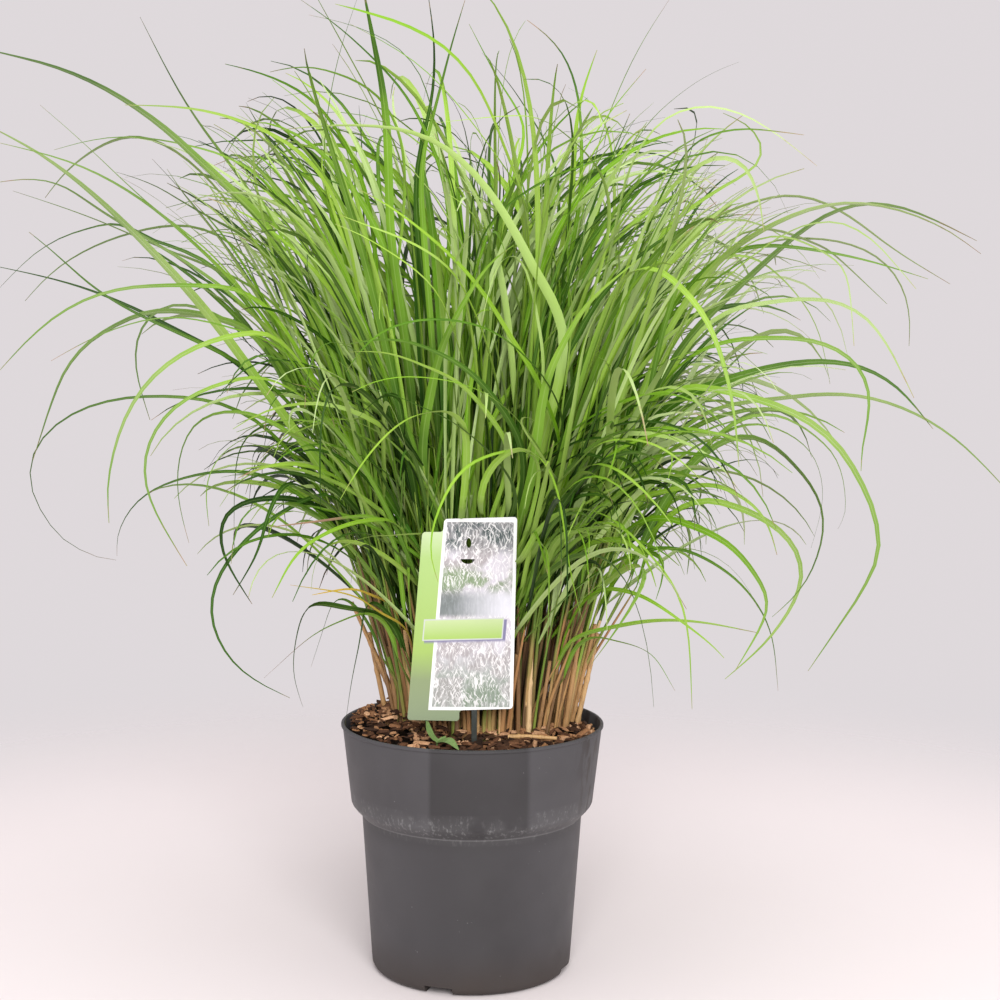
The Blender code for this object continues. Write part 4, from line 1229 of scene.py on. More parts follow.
# More leaves of the crowd whose courses show plainly
CROWD_TRACES = (
    leaf(0.10, S, M, 335, 529, 312, 504, 263, 475, 205, 473, 143, 495, 116, 535, 117, 556, dry=0.07),
    leaf(0.20, F, B, 257, 297, 223, 243, 185, 196, 167, 169),
    leaf(0.05, S, M, 223, 272, 156, 246, 105, 223, 56, 205, 13, 191),
    leaf(-0.10, S, E, 196, 341, 143, 317, 96, 290, 54, 252, 29, 232),
    leaf(0.15, S, M, 156, 227, 105, 241, 56, 268, 25, 301),
    leaf(-0.18, F, M, 196, 246, 156, 210, 112, 181, 67, 160, 0, 143),
    leaf(0.02, XS, M, 196, 147, 134, 136, 89, 140, 54, 150),
    leaf(0.22, S, B, 120, 138, 98, 147, 67, 170, 45, 198),
    leaf(-0.15, XS, M, 89, 203, 60, 183, 27, 178, 0, 182, dry=0.1),
    leaf(-0.05, F, E, 328, 118, 312, 98, 268, 75, 225, 64),
    leaf(-0.22, F, B, 279, 138, 245, 122, 201, 109, 167, 106, 125, 105),
    leaf(0.08, F, E, 245, 237, 183, 203, 156, 185, 116, 172),
    leaf(-0.20, S, M, 241, 331, 170, 316, 103, 333, 51, 361, dry=0.1),
    leaf(0.05, S, M, 252, 336, 200, 306, 165, 303, 143, 320, 133, 350, 138, 382, 150, 420),
    leaf(-0.25, S, B, 300, 396, 262, 375, 221, 384, 178, 402, 150, 436, 142, 473, 153, 509, 187, 566,
         dry=0.08),
    leaf(-0.18, S, M, 300, 440, 256, 414, 214, 412, 189, 428, 177, 470, 179, 505, 189, 543, dry=0.08),
    leaf(-0.26, S, B, 306, 440, 278, 430, 253, 434, 221, 453, 207, 480, 206, 500, 209, 526),
    leaf(-0.05, S, E, 304, 432, 276, 422, 254, 430, 240, 446, 235, 480, 234, 544, dry=0.1),
    leaf(-0.10, F, D, 340, 520, 301, 500, 256, 499, 226, 511, 219, 535, 226, 562, 252, 604),
    leaf(-0.25, F, D, 297, 486, 283, 485, 266, 520, 259, 551, 233, 595),
    leaf(-0.24, F, D, 348, 609, 312, 604, 299, 627, 293, 671, 303, 707),
    leaf(-0.20, S, M, 350, 618, 312, 636, 264, 678, dry=0.3),
    leaf(-0.10, XS, E, 330, 609, 311, 667, dry=0.1),
    leaf(-0.12, S, B, 372, 596, 350, 589, 312, 595, dry=0.02, orange=0.9),
    leaf(-0.16, S, B, 378, 612, 350, 595, 290, 585, dry=0.05, orange=0.8),
    leaf(-0.18, S, M, 360, 516, 321, 521, 271, 527, dry=0.35),
    leaf(-0.22, F, B, 380, 520, 344, 526, 299, 551, 272, 598),
    leaf(-0.02, S, E, 460, 226, 440, 150, 415, 60, 350, 24, 309, 15, dry=0.06),
    leaf(0.12, S, E, 424, 129, 402, 89, 344, 31, 301, 0, dry=0.05),
    leaf(-0.15, S, M, 540, 223, 509, 174, 460, 107, 415, 60, 350, 24),
    leaf(0.20, S, M, 509, 194, 520, 156, 527, 132, 518, 109, 502, 87, 469, 24),
    leaf(0.05, S, E, 581, 129, 579, 98, 571, 69, 556, 42, 527, 20, dry=0.1),
    leaf(-0.25, F, B, 585, 152, 547, 120, 518, 115, 435, 123),
    leaf(-0.20, F, D, 509, 205, 549, 178, 630, 150),
    leaf(0.10, S, M, 339, 74, 304, 65, 270, 72),
    leaf(0.12, XS, M, 560, 190, 607, 116, 646, 69, dry=0.1),
    leaf(0.10, F, M, 701, 201, 741, 176, 763, 167, 765, 150, 757, 128, 723, 113),
    leaf(-0.14, F, D, 692, 147, 701, 138, 732, 128, 757, 129, 804, 135, dry=0.1),
    leaf(0.18, S, B, 672, 219, 696, 170, 708, 137),
    leaf(-0.20, F, M, 737, 246, 757, 233, 806, 209, 862, 201, 940, 224, 981, 254, dry=0.1),
    leaf(0.22, S, M, 732, 210, 791, 193, 844, 212, 891, 248, 950, 284, dry=0.09),
    leaf(-0.16, F, D, 762, 246, 793, 247, 862, 259, 928, 279, dry=0.06),
    leaf(0.28, S, M, 780, 230, 820, 246, 835, 255, 887, 304),
    leaf(-0.26, XS, M, 800, 240, 840, 262, 849, 282, 854, 346),
    leaf(-0.05, W, D, 701, 389, 733, 378, 788, 364, 844, 362, 893, 382, 933, 429, dry=0.07),
    leaf(-0.24, F, E, 748, 339, 815, 340, 857, 362, 872, 398, 860, 453, 861, 471),
    leaf(0.12, XS, M, 766, 264, 788, 284, 817, 324, 830, 384),
    leaf(-0.10, F, E, 779, 450, 815, 490, 825, 526, 806, 584, 772, 617),
    leaf(0.15, XS, M, 780, 430, 811, 450, 824, 495, 811, 548),
    leaf(0.10, S, M, 800, 425, 832, 450, 842, 472, 847, 519, 838, 529),
    leaf(-0.18, F, B, 650, 495, 701, 485, 728, 489, 764, 515, 777, 555),
    leaf(-0.22, F, M, 679, 521, 730, 544, 764, 588, 768, 613, 735, 671),
    leaf(0.05, S, E, 672, 548, 694, 553, 739, 582, 770, 629, 778, 691, dry=0.1),
    leaf(-0.16, S, B, 620, 590, 650, 600, 706, 640, 724, 658),
    leaf(-0.12, S, B, 600, 630, 650, 621, 699, 622, 759, 633, dry=0.1),
    leaf(-0.14, S, M, 610, 640, 650, 653, 675, 691, dry=0.1),
    leaf(-0.30, S, L, 419, 546, 384, 536, 363, 537, 325, 556),
    leaf(-0.30, S, L, 550, 470, 536, 448, 519, 422, 526, 416, 535, 421),
    leaf(-0.34, F, B, 575, 467, 600, 443, 641, 440, 674, 455, 700, 479),
    leaf(-0.18, S, D, 365, 610, 360, 642, 352, 680, 345, 726),
    # across the middle
    leaf(-0.26, F, D, 560, 410, 545, 378, 507, 340, 478, 325, 427, 318, 381, 330, 363, 346, 346, 372),
    leaf(-0.24, F, D, 510, 420, 484, 385, 459, 363, 421, 345, 398, 339, 375, 339, 340, 346),
    leaf(-0.27, S, B, 500, 430, 470, 392, 446, 375, 421, 365, 398, 355, 375, 351, 350, 352),
    leaf(-0.28, S, M, 540, 450, 518, 420, 490, 395, 452, 381, 406, 376, 375, 380, 352, 392),
    leaf(-0.27, F, D, 510, 480, 490, 453, 452, 421, 429, 411, 406, 400, 383, 391, 350, 387),
    leaf(-0.22, W, E, 425, 420, 437, 362, 446, 337, 459, 310, 475, 284, 490, 261, 514, 245),
    leaf(-0.24, XS, L, 540, 330, 525, 262, 507, 252, 497, 268, 490, 284, 482, 322),
    leaf(-0.25, F, B, 467, 460, 469, 391, 464, 365, 452, 328, 443, 300, 421, 273, 398, 258, 360, 233,
         335, 224),
    leaf(-0.22, W, B, 500, 400, 485, 340, 459, 280, 443, 262, 406, 239, 378, 230, 340, 215),
    leaf(-0.20, W, M, 556, 430, 534, 374, 516, 349, 498, 316, 479, 287, 452, 256, 421, 230, 390, 205,
         360, 190),
    leaf(-0.22, W, M, 536, 450, 542, 401, 551, 368, 567, 337, 582, 310, 600, 291, 640, 258),
    leaf(-0.24, W, L, 562, 480, 571, 429, 577, 391, 582, 357, 590, 325, 606, 300, 630, 270),
)


@dataclass
class Crowd:
    """Blades, sheaths or canes gathered for one joined mesh.

    Each has its sections and three numbers for its finish: tone, dry, and a third that says how
    orange a blade is, or how deep in the crown a culm stands, which sets the culm's painted
    shade. blade_map says how far across the map each of a blade's four corners lies.
    """

    rings: list[np.ndarray] = field(default_factory=list)
    numbers: list[Triple] = field(default_factory=list)
    blade_map: tuple[float, float, float, float] = (0.0, 0.5, 1.0, 0.5)

    def add(self, ring: np.ndarray, tone: float, dry: float = 0.0, orange_and_shade: float = 0.0) -> None:
        """Adds one blade, sheath or cane by its sections."""
        self.rings.append(ring)
        self.numbers.append((tone, dry, orange_and_shade))

    def piece(self, name: str, corners: int) -> Piece:
        """Joins all that was added in one mesh, with its map and numbers.

        Args:
            name: The piece's name.
            corners: Corners of a section: four for a blade, six or eight for a round stem.

        Returns:
            The object.
        """
        points, faces, uvs, under, owner = [], [], [], [], []
        start = 0
        for number, ring in enumerate(self.rings):
            count = len(ring)
            points.append(ring.reshape(-1, 3))
            index = start + np.arange(count * corners).reshape(count, corners)
            along = np.arange(count) / (count - 1)
            for a in range(corners):
                b = (a + 1) % corners
                faces.append(np.stack(
                    [index[:-1, a], index[:-1, b], index[1:, b], index[1:, a]], axis=1))
                left, right = a / corners, (a + 1) / corners
                if corners == 4:
                    left, right = self.blade_map[a], self.blade_map[b]
                quad_uv = np.empty((count - 1, 4, 2))
                quad_uv[:, :, 0] = left, right, right, left
                quad_uv[:, :2, 1] = along[:-1, None]
                quad_uv[:, 2:, 1] = along[1:, None]
                uvs.append(quad_uv.reshape(-1, 8))
                under.append(np.full(count - 1, float(corners == 4 and a >= 2)))
                owner.append(np.full(count - 1, number))
            for end, at in ((index[0][::-1], 0.0), (index[-1], 1.0)):
                for first in range(1, corners - 1, 2):
                    faces.append(end[None, [0, first, first + 1, first + 2]])
                    uvs.append(np.array([[0.5, at] * 4]))
                    under.append(np.zeros(1))
                    owner.append(np.full(1, number))
            start += count * corners
        piece = mesh_piece(name, np.concatenate(points), np.concatenate(faces))
        layer = piece.data.uv_layers.new(name="UVMap")
        layer.data.foreach_set("uv", np.concatenate(uvs).astype(np.float32).ravel())
        numbers = np.array(self.numbers)[np.concatenate(owner)]
        for column, attribute in enumerate(("tone", "dry", "orange_and_shade")):
            store(piece, attribute, numbers[:, column])
        store(piece, "under", np.concatenate(under))
        # faces that look up are stored as lit, for the blades' painted sheen
        normals = np.zeros(3 * len(piece.data.polygons), dtype=np.float32)
        piece.data.polygons.foreach_get("normal", normals)
        store(piece, "lit", np.clip((normals[2::3] - 0.30) / 0.60, 0, 1))
        piece.data.shade_smooth()
        piece.data.set_sharp_from_angle(angle=math.radians(60))
        return piece


def smooth_course(points: list[Vector], steps: int) -> np.ndarray:
    """Evenly spread points on a smooth curve through the given points.

    Args:
        points: Places on the curve.
        steps: Stretches of the result.

    Returns:
        One row of x, y and z per point.
    """
    p = np.array([list(point) for point in points])
    ends = np.vstack([2 * p[0] - p[1], p, 2 * p[-1] - p[-2]])
    t = (np.arange(14) / 14)[:, None]
    fine = []
    for p0, p1, p2, p3 in zip(ends, ends[1:], ends[2:], ends[3:]):
        fine.append(0.5 * (
            2 * p1 + (p2 - p0) * t + (2 * p0 - 5 * p1 + 4 * p2 - p3) * t**2
            + (3 * p1 - p0 - 3 * p2 + p3) * t**3
        ))
    fine = np.vstack(fine + [p[-1:]])
    lengths = np.concatenate([[0], np.cumsum(np.linalg.norm(np.diff(fine, axis=0), axis=1))])
    wanted = np.linspace(0, lengths[-1], steps + 1)
    return np.stack([np.interp(wanted, lengths, fine[:, k]) for k in range(3)], axis=1)


def relaxed(course: np.ndarray, passes: int) -> np.ndarray:
    """The course with its kinks eased out, its ends kept.

    Args:
        course: Evenly spread points.
        passes: How often each point moves towards the middle of its neighbours.

    Returns:
        The eased course.
    """
    eased = course.copy()
    for _ in range(passes):
        eased[1:-1] = 0.5 * eased[1:-1] + 0.25 * (eased[:-2] + eased[2:])
    return eased


def unit(rows: np.ndarray) -> np.ndarray:
    """Rows scaled to length 1."""
    return rows / np.maximum(np.linalg.norm(rows, axis=1, keepdims=True), 1e-9)


@dataclass(frozen=True)
class BladeShape:
    """How a blade is made round its course."""

    half_width: float
    twist: float
    roll: float
    fold: float = 0.42
    thickness: float = 0.0005
    taper: float = 0.85

    def rings(self, course: np.ndarray) -> np.ndarray:
        """Sections of a folded blade: left edge, rib above, right edge, rib below.

        Args:
            course: Points along the blade's middle.

        Returns:
            An array of sections by corners by x, y and z.
        """
        along = unit(np.gradient(course, axis=0))
        reach = course[-1] - course[0]
        outward = np.array([reach[0], reach[1], 0.0])
        size = np.linalg.norm(outward)
        outward = outward / size if size > 0.02 else np.array([0.0, -1.0, 0.0])
        side = np.cross([0, 0, 1.0], outward)[None, :].repeat(len(course), axis=0)
        side = unit(side - along * (side * along).sum(1, keepdims=True))
        face = np.cross(along, side)
        share = np.linspace(0, 1, len(course))[:, None]
        turn = self.roll + self.twist * share
        across = side * np.cos(turn) + face * np.sin(turn)
        face = np.cross(along, across)
        opened = np.minimum(1.0, 0.14 + share / 0.10)
        taper = np.minimum(1.0, 1.9 * (1 - share) ** self.taper)
        width = 0.0003 + self.half_width * np.minimum(opened, taper)
        fold = self.fold * (1 - 0.5 * share)
        thick = self.thickness * (1 - 0.6 * share)
        left = course - across * width + face * width * fold
        right = course + across * width + face * width * fold
        above, below = course + face * thick * 0.5, course - face * thick * 0.5
        return np.stack([left, above, right, below], axis=1)


def tube(course: np.ndarray, radii: np.ndarray, corners: int = 6) -> np.ndarray:
    """Round sections along a course.

    Args:
        course: Points along the middle.
        radii: The radius at each point.
        corners: Corners of a section.

    Returns:
        An array of sections by corners by x, y and z.
    """
    along = unit(np.gradient(course, axis=0))
    side = unit(np.cross(along, np.array([0.0, 1.0, 0.02])[None, :]))
    face = np.cross(along, side)
    turns = math.tau * np.arange(corners) / corners
    return np.stack([
        course + (side * math.cos(t) + face * math.sin(t)) * radii[:, None] for t in turns
    ], axis=1)


@dataclass(frozen=True)
class Outline:
    """The crowd's dense outline in the photograph: left and right edge at rows of pixels."""

    rows: tuple[int, ...] = (
        30, 70, 100, 150, 200, 250, 300, 350, 400, 450, 500, 550, 600, 650, 700)
    left: tuple[int, ...] = (
        340, 290, 262, 222, 210, 220, 232, 250, 264, 276, 286, 312, 340, 368, 385)
    right: tuple[int, ...] = (
        440, 520, 600, 690, 730, 740, 754, 764, 755, 720, 702, 686, 648, 605, 590)
    card: tuple[int, int, int, int] = (402, 522, 508, 725)
    card_depth: float = -0.066
    headroom: int = 30
    lowest: float = 0.36
    clear: float = 6.0
    bold: list[np.ndarray] = field(default_factory=list)

    def holds(self, course: np.ndarray, slack: float) -> bool:
        """Whether a leaf keeps inside the outline and clear of the card.

        Args:
            course: The leaf's course.
            slack: Pixels by which it may pass the outline.

        Returns:
            True where it does.
        """
        across, down = photo_pixels(course).T
        inside = (across > np.interp(down, self.rows, self.left) - slack).all()
        inside &= (across < np.interp(down, self.rows, self.right) + slack).all()
        inside &= down.min() > self.rows[0] + self.headroom - slack
        inside &= course[:, 2].min() > self.lowest and not self.over_card(course).any()
        return bool(inside and not self.hides_bold(course))

    def keep_bold(self, course: np.ndarray) -> None:
        """Notes a traced leaf that no leaf of the crowd may hide."""
        self.bold.append(np.column_stack([photo_pixels(course), course[:, 1]]))

    def hides_bold(self, course: np.ndarray) -> bool:
        """Whether a leaf passes in front of one of the bold traced leaves."""
        if not self.bold:
            return False
        bold = np.vstack(self.bold)
        dense = np.repeat(course, 2, axis=0)
        dense[1:-1:2] = 0.5 * (dense[1:-1:2] + dense[2::2])
        apart = photo_pixels(dense)[:, None, :] - bold[None, :, :2]
        near = (apart**2).sum(axis=2) < self.clear**2
        return bool((near & (dense[:, 1, None] < bold[None, :, 2])).any())

    def over_card(self, course: np.ndarray) -> np.ndarray:
        """Which points of a course lie in front of the card."""
        across, down = photo_pixels(course).T
        left, right, high, low = self.card
        over = (across > left) & (across < right) & (down > high) & (down < low)
        return over & (course[:, 1] < self.card_depth)

    def clear_card(self, course: np.ndarray) -> None:
        """Moves the points of a course that lie in front of the card back to its depth."""
        course[self.over_card(course), 1] = self.card_depth


def quarter(x: float, y: float) -> int:
    """The quarter of the plan that a direction points to, from the back right one round."""
    return int(math.degrees(math.atan2(y, x)) % 360 // 90)


@dataclass
class Clump:
    """The grass: traced shoots, then a crowd of like shoots that fills the clump out.

    Feet and tips are radii of the culms. slack is the mean and the greatest number of pixels by
    which a leaf may pass the outline. gather is the share of a traced leaf's place across and in
    depth at which its shoot is rooted. leans is a culm's lean in the middle of the crown, and how
    much more it is at the edge, in degrees.
    """

    bed: SoilBed
    outline: Outline = field(default_factory=Outline)
    shoots: int = 172
    crown_centre: Pair = (0.010, 0.034)
    crown_radii: Pair = (0.104, 0.079)
    rooted: float = 0.012
    blade_steps: int = 17
    spiral: float = math.radians(137.5)
    slim_foot: float = 0.0019
    side_foot: float = 0.0028
    full_foot: float = 0.0030
    slim_tip: float = 0.0006
    full_tip: float = 0.0007
    front_depth: float = -0.19
    eases: int = 9
    tries: int = 30
    slack: Pair = (38.0, 140.0)
    margin: float = 0.004
    gather: Pair = (0.42, 0.28)
    gathered_reach: float = 0.085
    upright: float = 0.025
    leans: Pair = (2.0, 17.0)
    culm_length: Triple = (0.20, 0.50, 0.36)
    leaf_count: tuple[int, int] = (9, 12)
    leaf_length: Pair = (0.38, 0.84)
    half_widths: Triple = (0.0009, 0.0054, 0.0028)
    blades: BladeFinish = BladeFinish()
    sheaths: SheathFinish = SheathFinish()

    def __post_init__(self) -> None:
        """Prepares the seeded chance and the gathered crowds."""
        self.chance = random.Random(SEED + 1)
        self.sectors = [Crowd() for _ in range(4)]
        self.stems = Crowd()
        self.low, self.high = np.array(CAD_BOX)

    def build(self) -> list[Piece]:
        """Grows every shoot and joins the blades by the side they hang to.

        Returns:
            The pieces of grass.
        """
        for traced in SHOOT_TRACES:
            self.grow_traced(traced)
        for traced in CROWD_TRACES:
            self.grow_side(traced)
        for number in range(self.shoots):
            self.grow_shoot(number)
        return self.join()

    def spot(self, share: float, turn: float) -> Pair:
        """A place in the crown by share of its radius and direction."""
        return (
            self.crown_centre[0] + self.crown_radii[0] * share * math.cos(turn),
            self.crown_centre[1] + self.crown_radii[1] * share * math.sin(turn),
        )

    def add_blade(self, course: np.ndarray, shape: BladeShape, tone: float, dry: float,
                  orange: float = 0.0) -> None:
        """Adds a blade to the crowd of the side that it hangs to.

        Args:
            course: Its course.
            shape: Its section.
            tone: Its place on the green ramp.
            dry: Share of its length that has browned at the tip.
            orange: How far it has turned orange.
        """
        reach = course[-1] - course[0]
        self.sectors[quarter(reach[0], reach[1])].add(shape.rings(course), tone, dry, orange)

    def add_sheath(self, course: np.ndarray, foot: float, tip: float, tone: float,
                   dry: float) -> None:
        """Adds a culm in its sheaths.

        Args:
            course: Its course, from the soil up.
            foot: Radius at the soil.
            tip: Radius where the blade opens.
            tone: Its green.
            dry: How dry its foot is.
        """
        share = np.linspace(0, 1, len(course))
        swell = 1 + 0.10 * np.sin(share * 9 + tone * 20)
        # how deep in the crown the culm stands, which sets its painted shade
        inward = (course[0][:2] - np.array(self.crown_centre)) / np.array(self.crown_radii)
        deep = 1 - min(1.0, max(0.0, (float(inward @ inward) - 0.42) / 0.26))
        self.stems.add(tube(course, (foot + (tip - foot) * share) * swell), tone, dry, deep)

    def root(self, trace: Trace) -> tuple[Vector, Vector, list[Vector]]:
        """Where a traced leaf's shoot stands, and the leaf's places.

        Args:
            trace: The leaf as read off the photograph.

        Returns:
            The shoot's foot, a point straight above the soil, and the leaf's places.
        """
        chance = self.chance
        inner = photo_point(*trace.pixels[0], trace.depth * 0.4)
        across, back = self.gather
        wanted = Vector((inner.x * across - self.crown_centre[0], trace.depth * back, 0.0))
        share = min(0.94, wanted.length / self.gathered_reach)
        turn = math.atan2(wanted.y, wanted.x) + chance.uniform(-0.25, 0.25)
        x, y = self.spot(share, turn)
        soil = self.bed.height(x, y)
        foot = Vector((x, y, soil - self.rooted))
        straight = Vector((x, y, soil + self.upright))
        count = len(trace.pixels)
        power = 0.5 if trace.depth < -0.08 else 1.4
        traced = [
            photo_point(*pixel, y + (trace.depth - y) * ((place + 1) / count) ** power)
            for place, pixel in enumerate(trace.pixels)
        ]
        return foot, straight, traced

    def traced_shape(self, trace: Trace, course: np.ndarray) -> BladeShape:
        """The section of a traced leaf, turned so that the front sees its face.

        Args:
            trace: The leaf as read off the photograph.
            course: Its course.

        Returns:
            The blade's shape.
        """
        chance = self.chance
        reach = course[-1] - course[0]
        aslant = abs(reach[0]) / max(1e-6, math.hypot(reach[0], reach[1]))
        roll = aslant * chance.uniform(0.70, 1.25) + (1 - aslant) * chance.uniform(0.0, 0.5)
        taper = 0.62 if trace.leaves_top and trace.width is Width.WIDE else 0.95
        return BladeShape(
            trace.width.value, chance.uniform(-0.5, 0.5), roll * chance.choice((-1, 1)), taper=taper)

    def grow_side(self, trace: Trace) -> None:
        """Grows a shoot with a side leaf that follows a trace out of the crowd.

        Args:
            trace: The leaf as read off the photograph.
        """
        chance = self.chance
        foot, straight, traced = self.root(trace)
        lean = traced[0] - straight
        lift = chance.uniform(0.40, 0.60)
        collar = straight + Vector((lean.x * 0.30, lean.y * 0.30, lean.z * lift))
        gap = (traced[0] - collar).length
        back = (traced[0] - traced[1]).normalized() * gap * 0.40
        rise = collar + Vector((lean.x * 0.10, lean.y * 0.10, gap * 0.40))
        a, b, c, d = (np.array(point) for point in (collar, rise, traced[0] + back, traced[0]))
        t = np.linspace(0, 1, 12)[:, None]
        first = a * (1 - t)**3 + 3 * b * t * (1 - t)**2 + 3 * c * t**2 * (1 - t) + d * t**3
        self.outline.clear_card(first)
        places = [Vector(row) for row in first] + traced[1:]
        blade = relaxed(smooth_course(places, 3 * self.blade_steps), self.eases)
        blade = smooth_course([Vector(row) for row in blade[::3]], 2 * self.blade_steps)
        shape = self.traced_shape(trace, blade)
        if trace.depth < self.front_depth and trace.broad:
            self.outline.keep_bold(blade[12::2])
        self.add_blade(blade, shape, trace.tone.value, trace.dry, trace.orange)
        culm = smooth_course([foot, straight, Vector(blade[0])], 16)
        self.outline.clear_card(culm)
        tone, dry = chance.uniform(0.2, 0.7), chance.random()
        self.add_sheath(culm, self.side_foot, self.full_tip, tone, dry)

    def grow_traced(self, trace: Trace) -> None:
        """Grows a shoot whose top leaf follows a trace.

        Args:
            trace: The leaf as read off the photograph.
        """
        chance = self.chance
        foot, straight, traced = self.root(trace)
        soil = foot.z + self.rooted
        lean = traced[0] - straight
        lifted = straight + Vector((lean.x * 0.30, lean.y * 0.30, lean.z * 0.52))
        whole = relaxed(smooth_course([foot, straight, lifted] + traced, 64), self.eases)
        opened = soil + min(0.32, max(0.08, chance.uniform(0.40, 0.70) * lean.z))
        self.outline.clear_card(whole[:34])
        opens = max([k for k in range(38) if whole[k][2] < opened] or [6])
        rows = [Vector(row) for row in (*whole[opens:-1:3], whole[-1])]
        blade = smooth_course(rows, 2 * self.blade_steps)
        if trace.tone is Tone.LIT or (trace.broad and trace.leaves_top):
            self.outline.keep_bold(whole[26:])
        shape = self.traced_shape(trace, blade)
        self.add_blade(blade, shape, trace.tone.value, trace.dry, trace.orange)
        tone, dry = chance.uniform(0.2, 0.7), chance.random()
        self.add_sheath(whole[:opens + 3], self.full_foot, self.full_tip, tone, dry)

    def grow_shoot(self, number: int) -> None:
        """Grows a shoot of the crowd by rule: a leaning culm with leaves in two ranks.

        Args:
            number: The shoot's place in the crown's spiral.
        """
        chance = self.chance
        share = math.sqrt((number + 0.5) / self.shoots)
        x, y = self.spot(share * 0.98, self.spiral * number)
        soil = self.bed.height(x, y)
        away = math.atan2(y - self.crown_centre[1], x - self.crown_centre[0])
        away += chance.gauss(0, 0.35)
        least, more = self.leans
        lean = math.radians(max(0.5, least + more * share**1.3 + chance.gauss(0, 3.5)))
        length = chance.triangular(*self.culm_length) * (1.06 - 0.30 * share)
        foot = Vector((x, y, soil - self.rooted))
        for _ in range(8):
            culm = self.culm_course(foot, lean, away, length)
            if not self.outline.over_card(culm).any():
                break
            lean *= 0.7
        tone = min(1.0, max(0.0, chance.gauss(0.45, 0.2)))
        radius, dry = chance.uniform(self.slim_foot, self.full_foot), chance.random()
        self.add_sheath(culm, radius, self.slim_tip, tone, dry)
        leaves = chance.randint(*self.leaf_count)
        plane = chance.uniform(0, math.pi)
        for place in range(leaves):
            at = culm[int(3 + 13 * (place + 1) / leaves)]
            rank = plane + math.pi * (place % 2) + chance.gauss(0, 0.4)
            kind = Leaf.SKIRT if place < 5 and share > 0.40 else Leaf.SIDE
            if place in (5, 7) and share > 0.30:
                kind = Leaf.CROSS
            if place >= leaves - 2 - number % 2:
                kind = Leaf.TOP
            self.grow_leaf(Vector(at), lean, away, rank, kind, tone)

    def culm_course(self, foot: Vector, lean: float, away: float, length: float) -> np.ndarray:
        """The course of a culm that leans out a little more as it rises.

        Args:
            foot: Its lower end, in the soil.
            lean: Its lean, in radians.
            away: Direction in which it leans.
            length: Its length.

        Returns:
            One row of x, y and z per point.
        """
        points = [foot]
        steps = 12
        for step in range(steps):
            angle = lean * (0.55 + 0.65 * step / steps)
            level = math.sin(angle)
            heading = Vector((level * math.cos(away), level * math.sin(away), math.cos(angle)))
            points.append(points[-1] + heading * (length / steps))
        return smooth_course(points, 16)

    def grow_leaf(self, start: Vector, lean: float, away: float, rank: float, kind: Leaf,
                  tone: float) -> None:
        """Grows a leaf that rises out of its sheath and arches over.

        Args:
            start: Where it leaves the culm.
            lean: The culm's lean, in radians.
            away: Direction in which the culm leans.
            rank: Direction of the leaf's rank.
            kind: Where on the shoot it grows.
            tone: The shoot's green.
        """
        chance = self.chance
        mean, most = self.slack
        slack = min(most, chance.expovariate(1 / mean))
        shortest, longest = self.leaf_length
        for attempt in range(self.tries):
            side = rank + chance.gauss(0, 0.1 + 0.05 * attempt)
            out = Vector((math.cos(away), math.sin(away))) * math.sin(lean) * 1.1
            if kind is Leaf.SKIRT:
                side = away + chance.gauss(0, 0.55)
            elif kind is Leaf.CROSS:
                side = away + chance.uniform(-1.9, 1.9)
            out += Vector((math.cos(side), math.sin(side))) * chance.triangular(*kind.value.spread)
            droop = math.radians(chance.triangular(*kind.value.droop))
            peak = chance.triangular(*kind.value.peak)
            course = self.arch(
                start, math.atan2(out.y, out.x), min(1.0, out.length), droop,
                chance.uniform(1.2, 2.4), chance.gauss(0, 0.5))
            rise = max(0.25, course[:, 2].max() - start.z)
            length = min(longest, max(shortest, (peak - start.z) / rise)) * (1 - 0.008 * attempt)
            course = np.array(start) + (course - np.array(start)) * length
            inside = (course > self.low + self.margin).all()
            inside = inside and (course < self.high - self.margin).all()
            if inside and self.outline.holds(course, slack):
                break
        else:
            return
        width = chance.triangular(*self.half_widths) * min(1.0, 0.55 + 0.6 * length)
        shape = BladeShape(width, chance.gauss(0, 0.9), chance.uniform(-1.2, 1.2))
        shade = min(1.0, max(0.0, tone * 0.4 + chance.gauss(0.30, 0.36)))
        dry = max(0.0, chance.gauss(0.03, 0.04))
        self.add_blade(course, shape, shade, dry)

    def arch(self, start: Vector, direction: float, begin: float, droop: float, power: float,
             curl: float) -> np.ndarray:
        """The course of a leaf a metre long that bends steadily over.

        Args:
            start: Its first point.
            direction: Level direction in which it leans.
            begin: Its first lean, in radians.
            droop: How far it bends, in radians.
            power: How late it bends.
            curl: How far its direction swings on the way.

        Returns:
            One row of x, y and z per point.
        """
        share = (np.arange(self.blade_steps) + 0.5) / self.blade_steps
        angle = begin + droop * share**power
        level = direction + curl * share**2
        steps = np.stack([
            np.sin(angle) * np.cos(level), np.sin(angle) * np.sin(level), np.cos(angle)], axis=1)
        steps *= 1.0 / self.blade_steps
        first = np.array(start)[None, :]
        return np.vstack([first, first + np.cumsum(steps, axis=0)])

    def join(self) -> list[Piece]:
        """Joins the crowds, and lets each stand for the solids on its side.

        Returns:
            The pieces.
        """
        names = ("blades_back_right", "blades_back_left", "blades_front_left", "blades_front_right")
        nodes: list[list[str]] = [[], [], [], []]
        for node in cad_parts:
            if node.startswith("shoot_"):
                middle = np.array(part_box(node)).mean(axis=0)[:2] - self.crown_centre
                nodes[quarter(*middle)].append(node)
        made = []
        blade_finish = self.blades.material()
        for crowd, name, stands_for in zip(self.sectors, names, nodes):
            piece = crowd.piece(name, 4)
            piece.data.materials.append(blade_finish)
            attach(piece, ROOT)
            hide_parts(*stands_for)
            made.append(piece)
        stems = self.stems.piece("culms_in_sheaths", 6)
        stems.data.materials.append(self.sheaths.material())
        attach(stems, ROOT)
        return made + [stems]


# Old canes


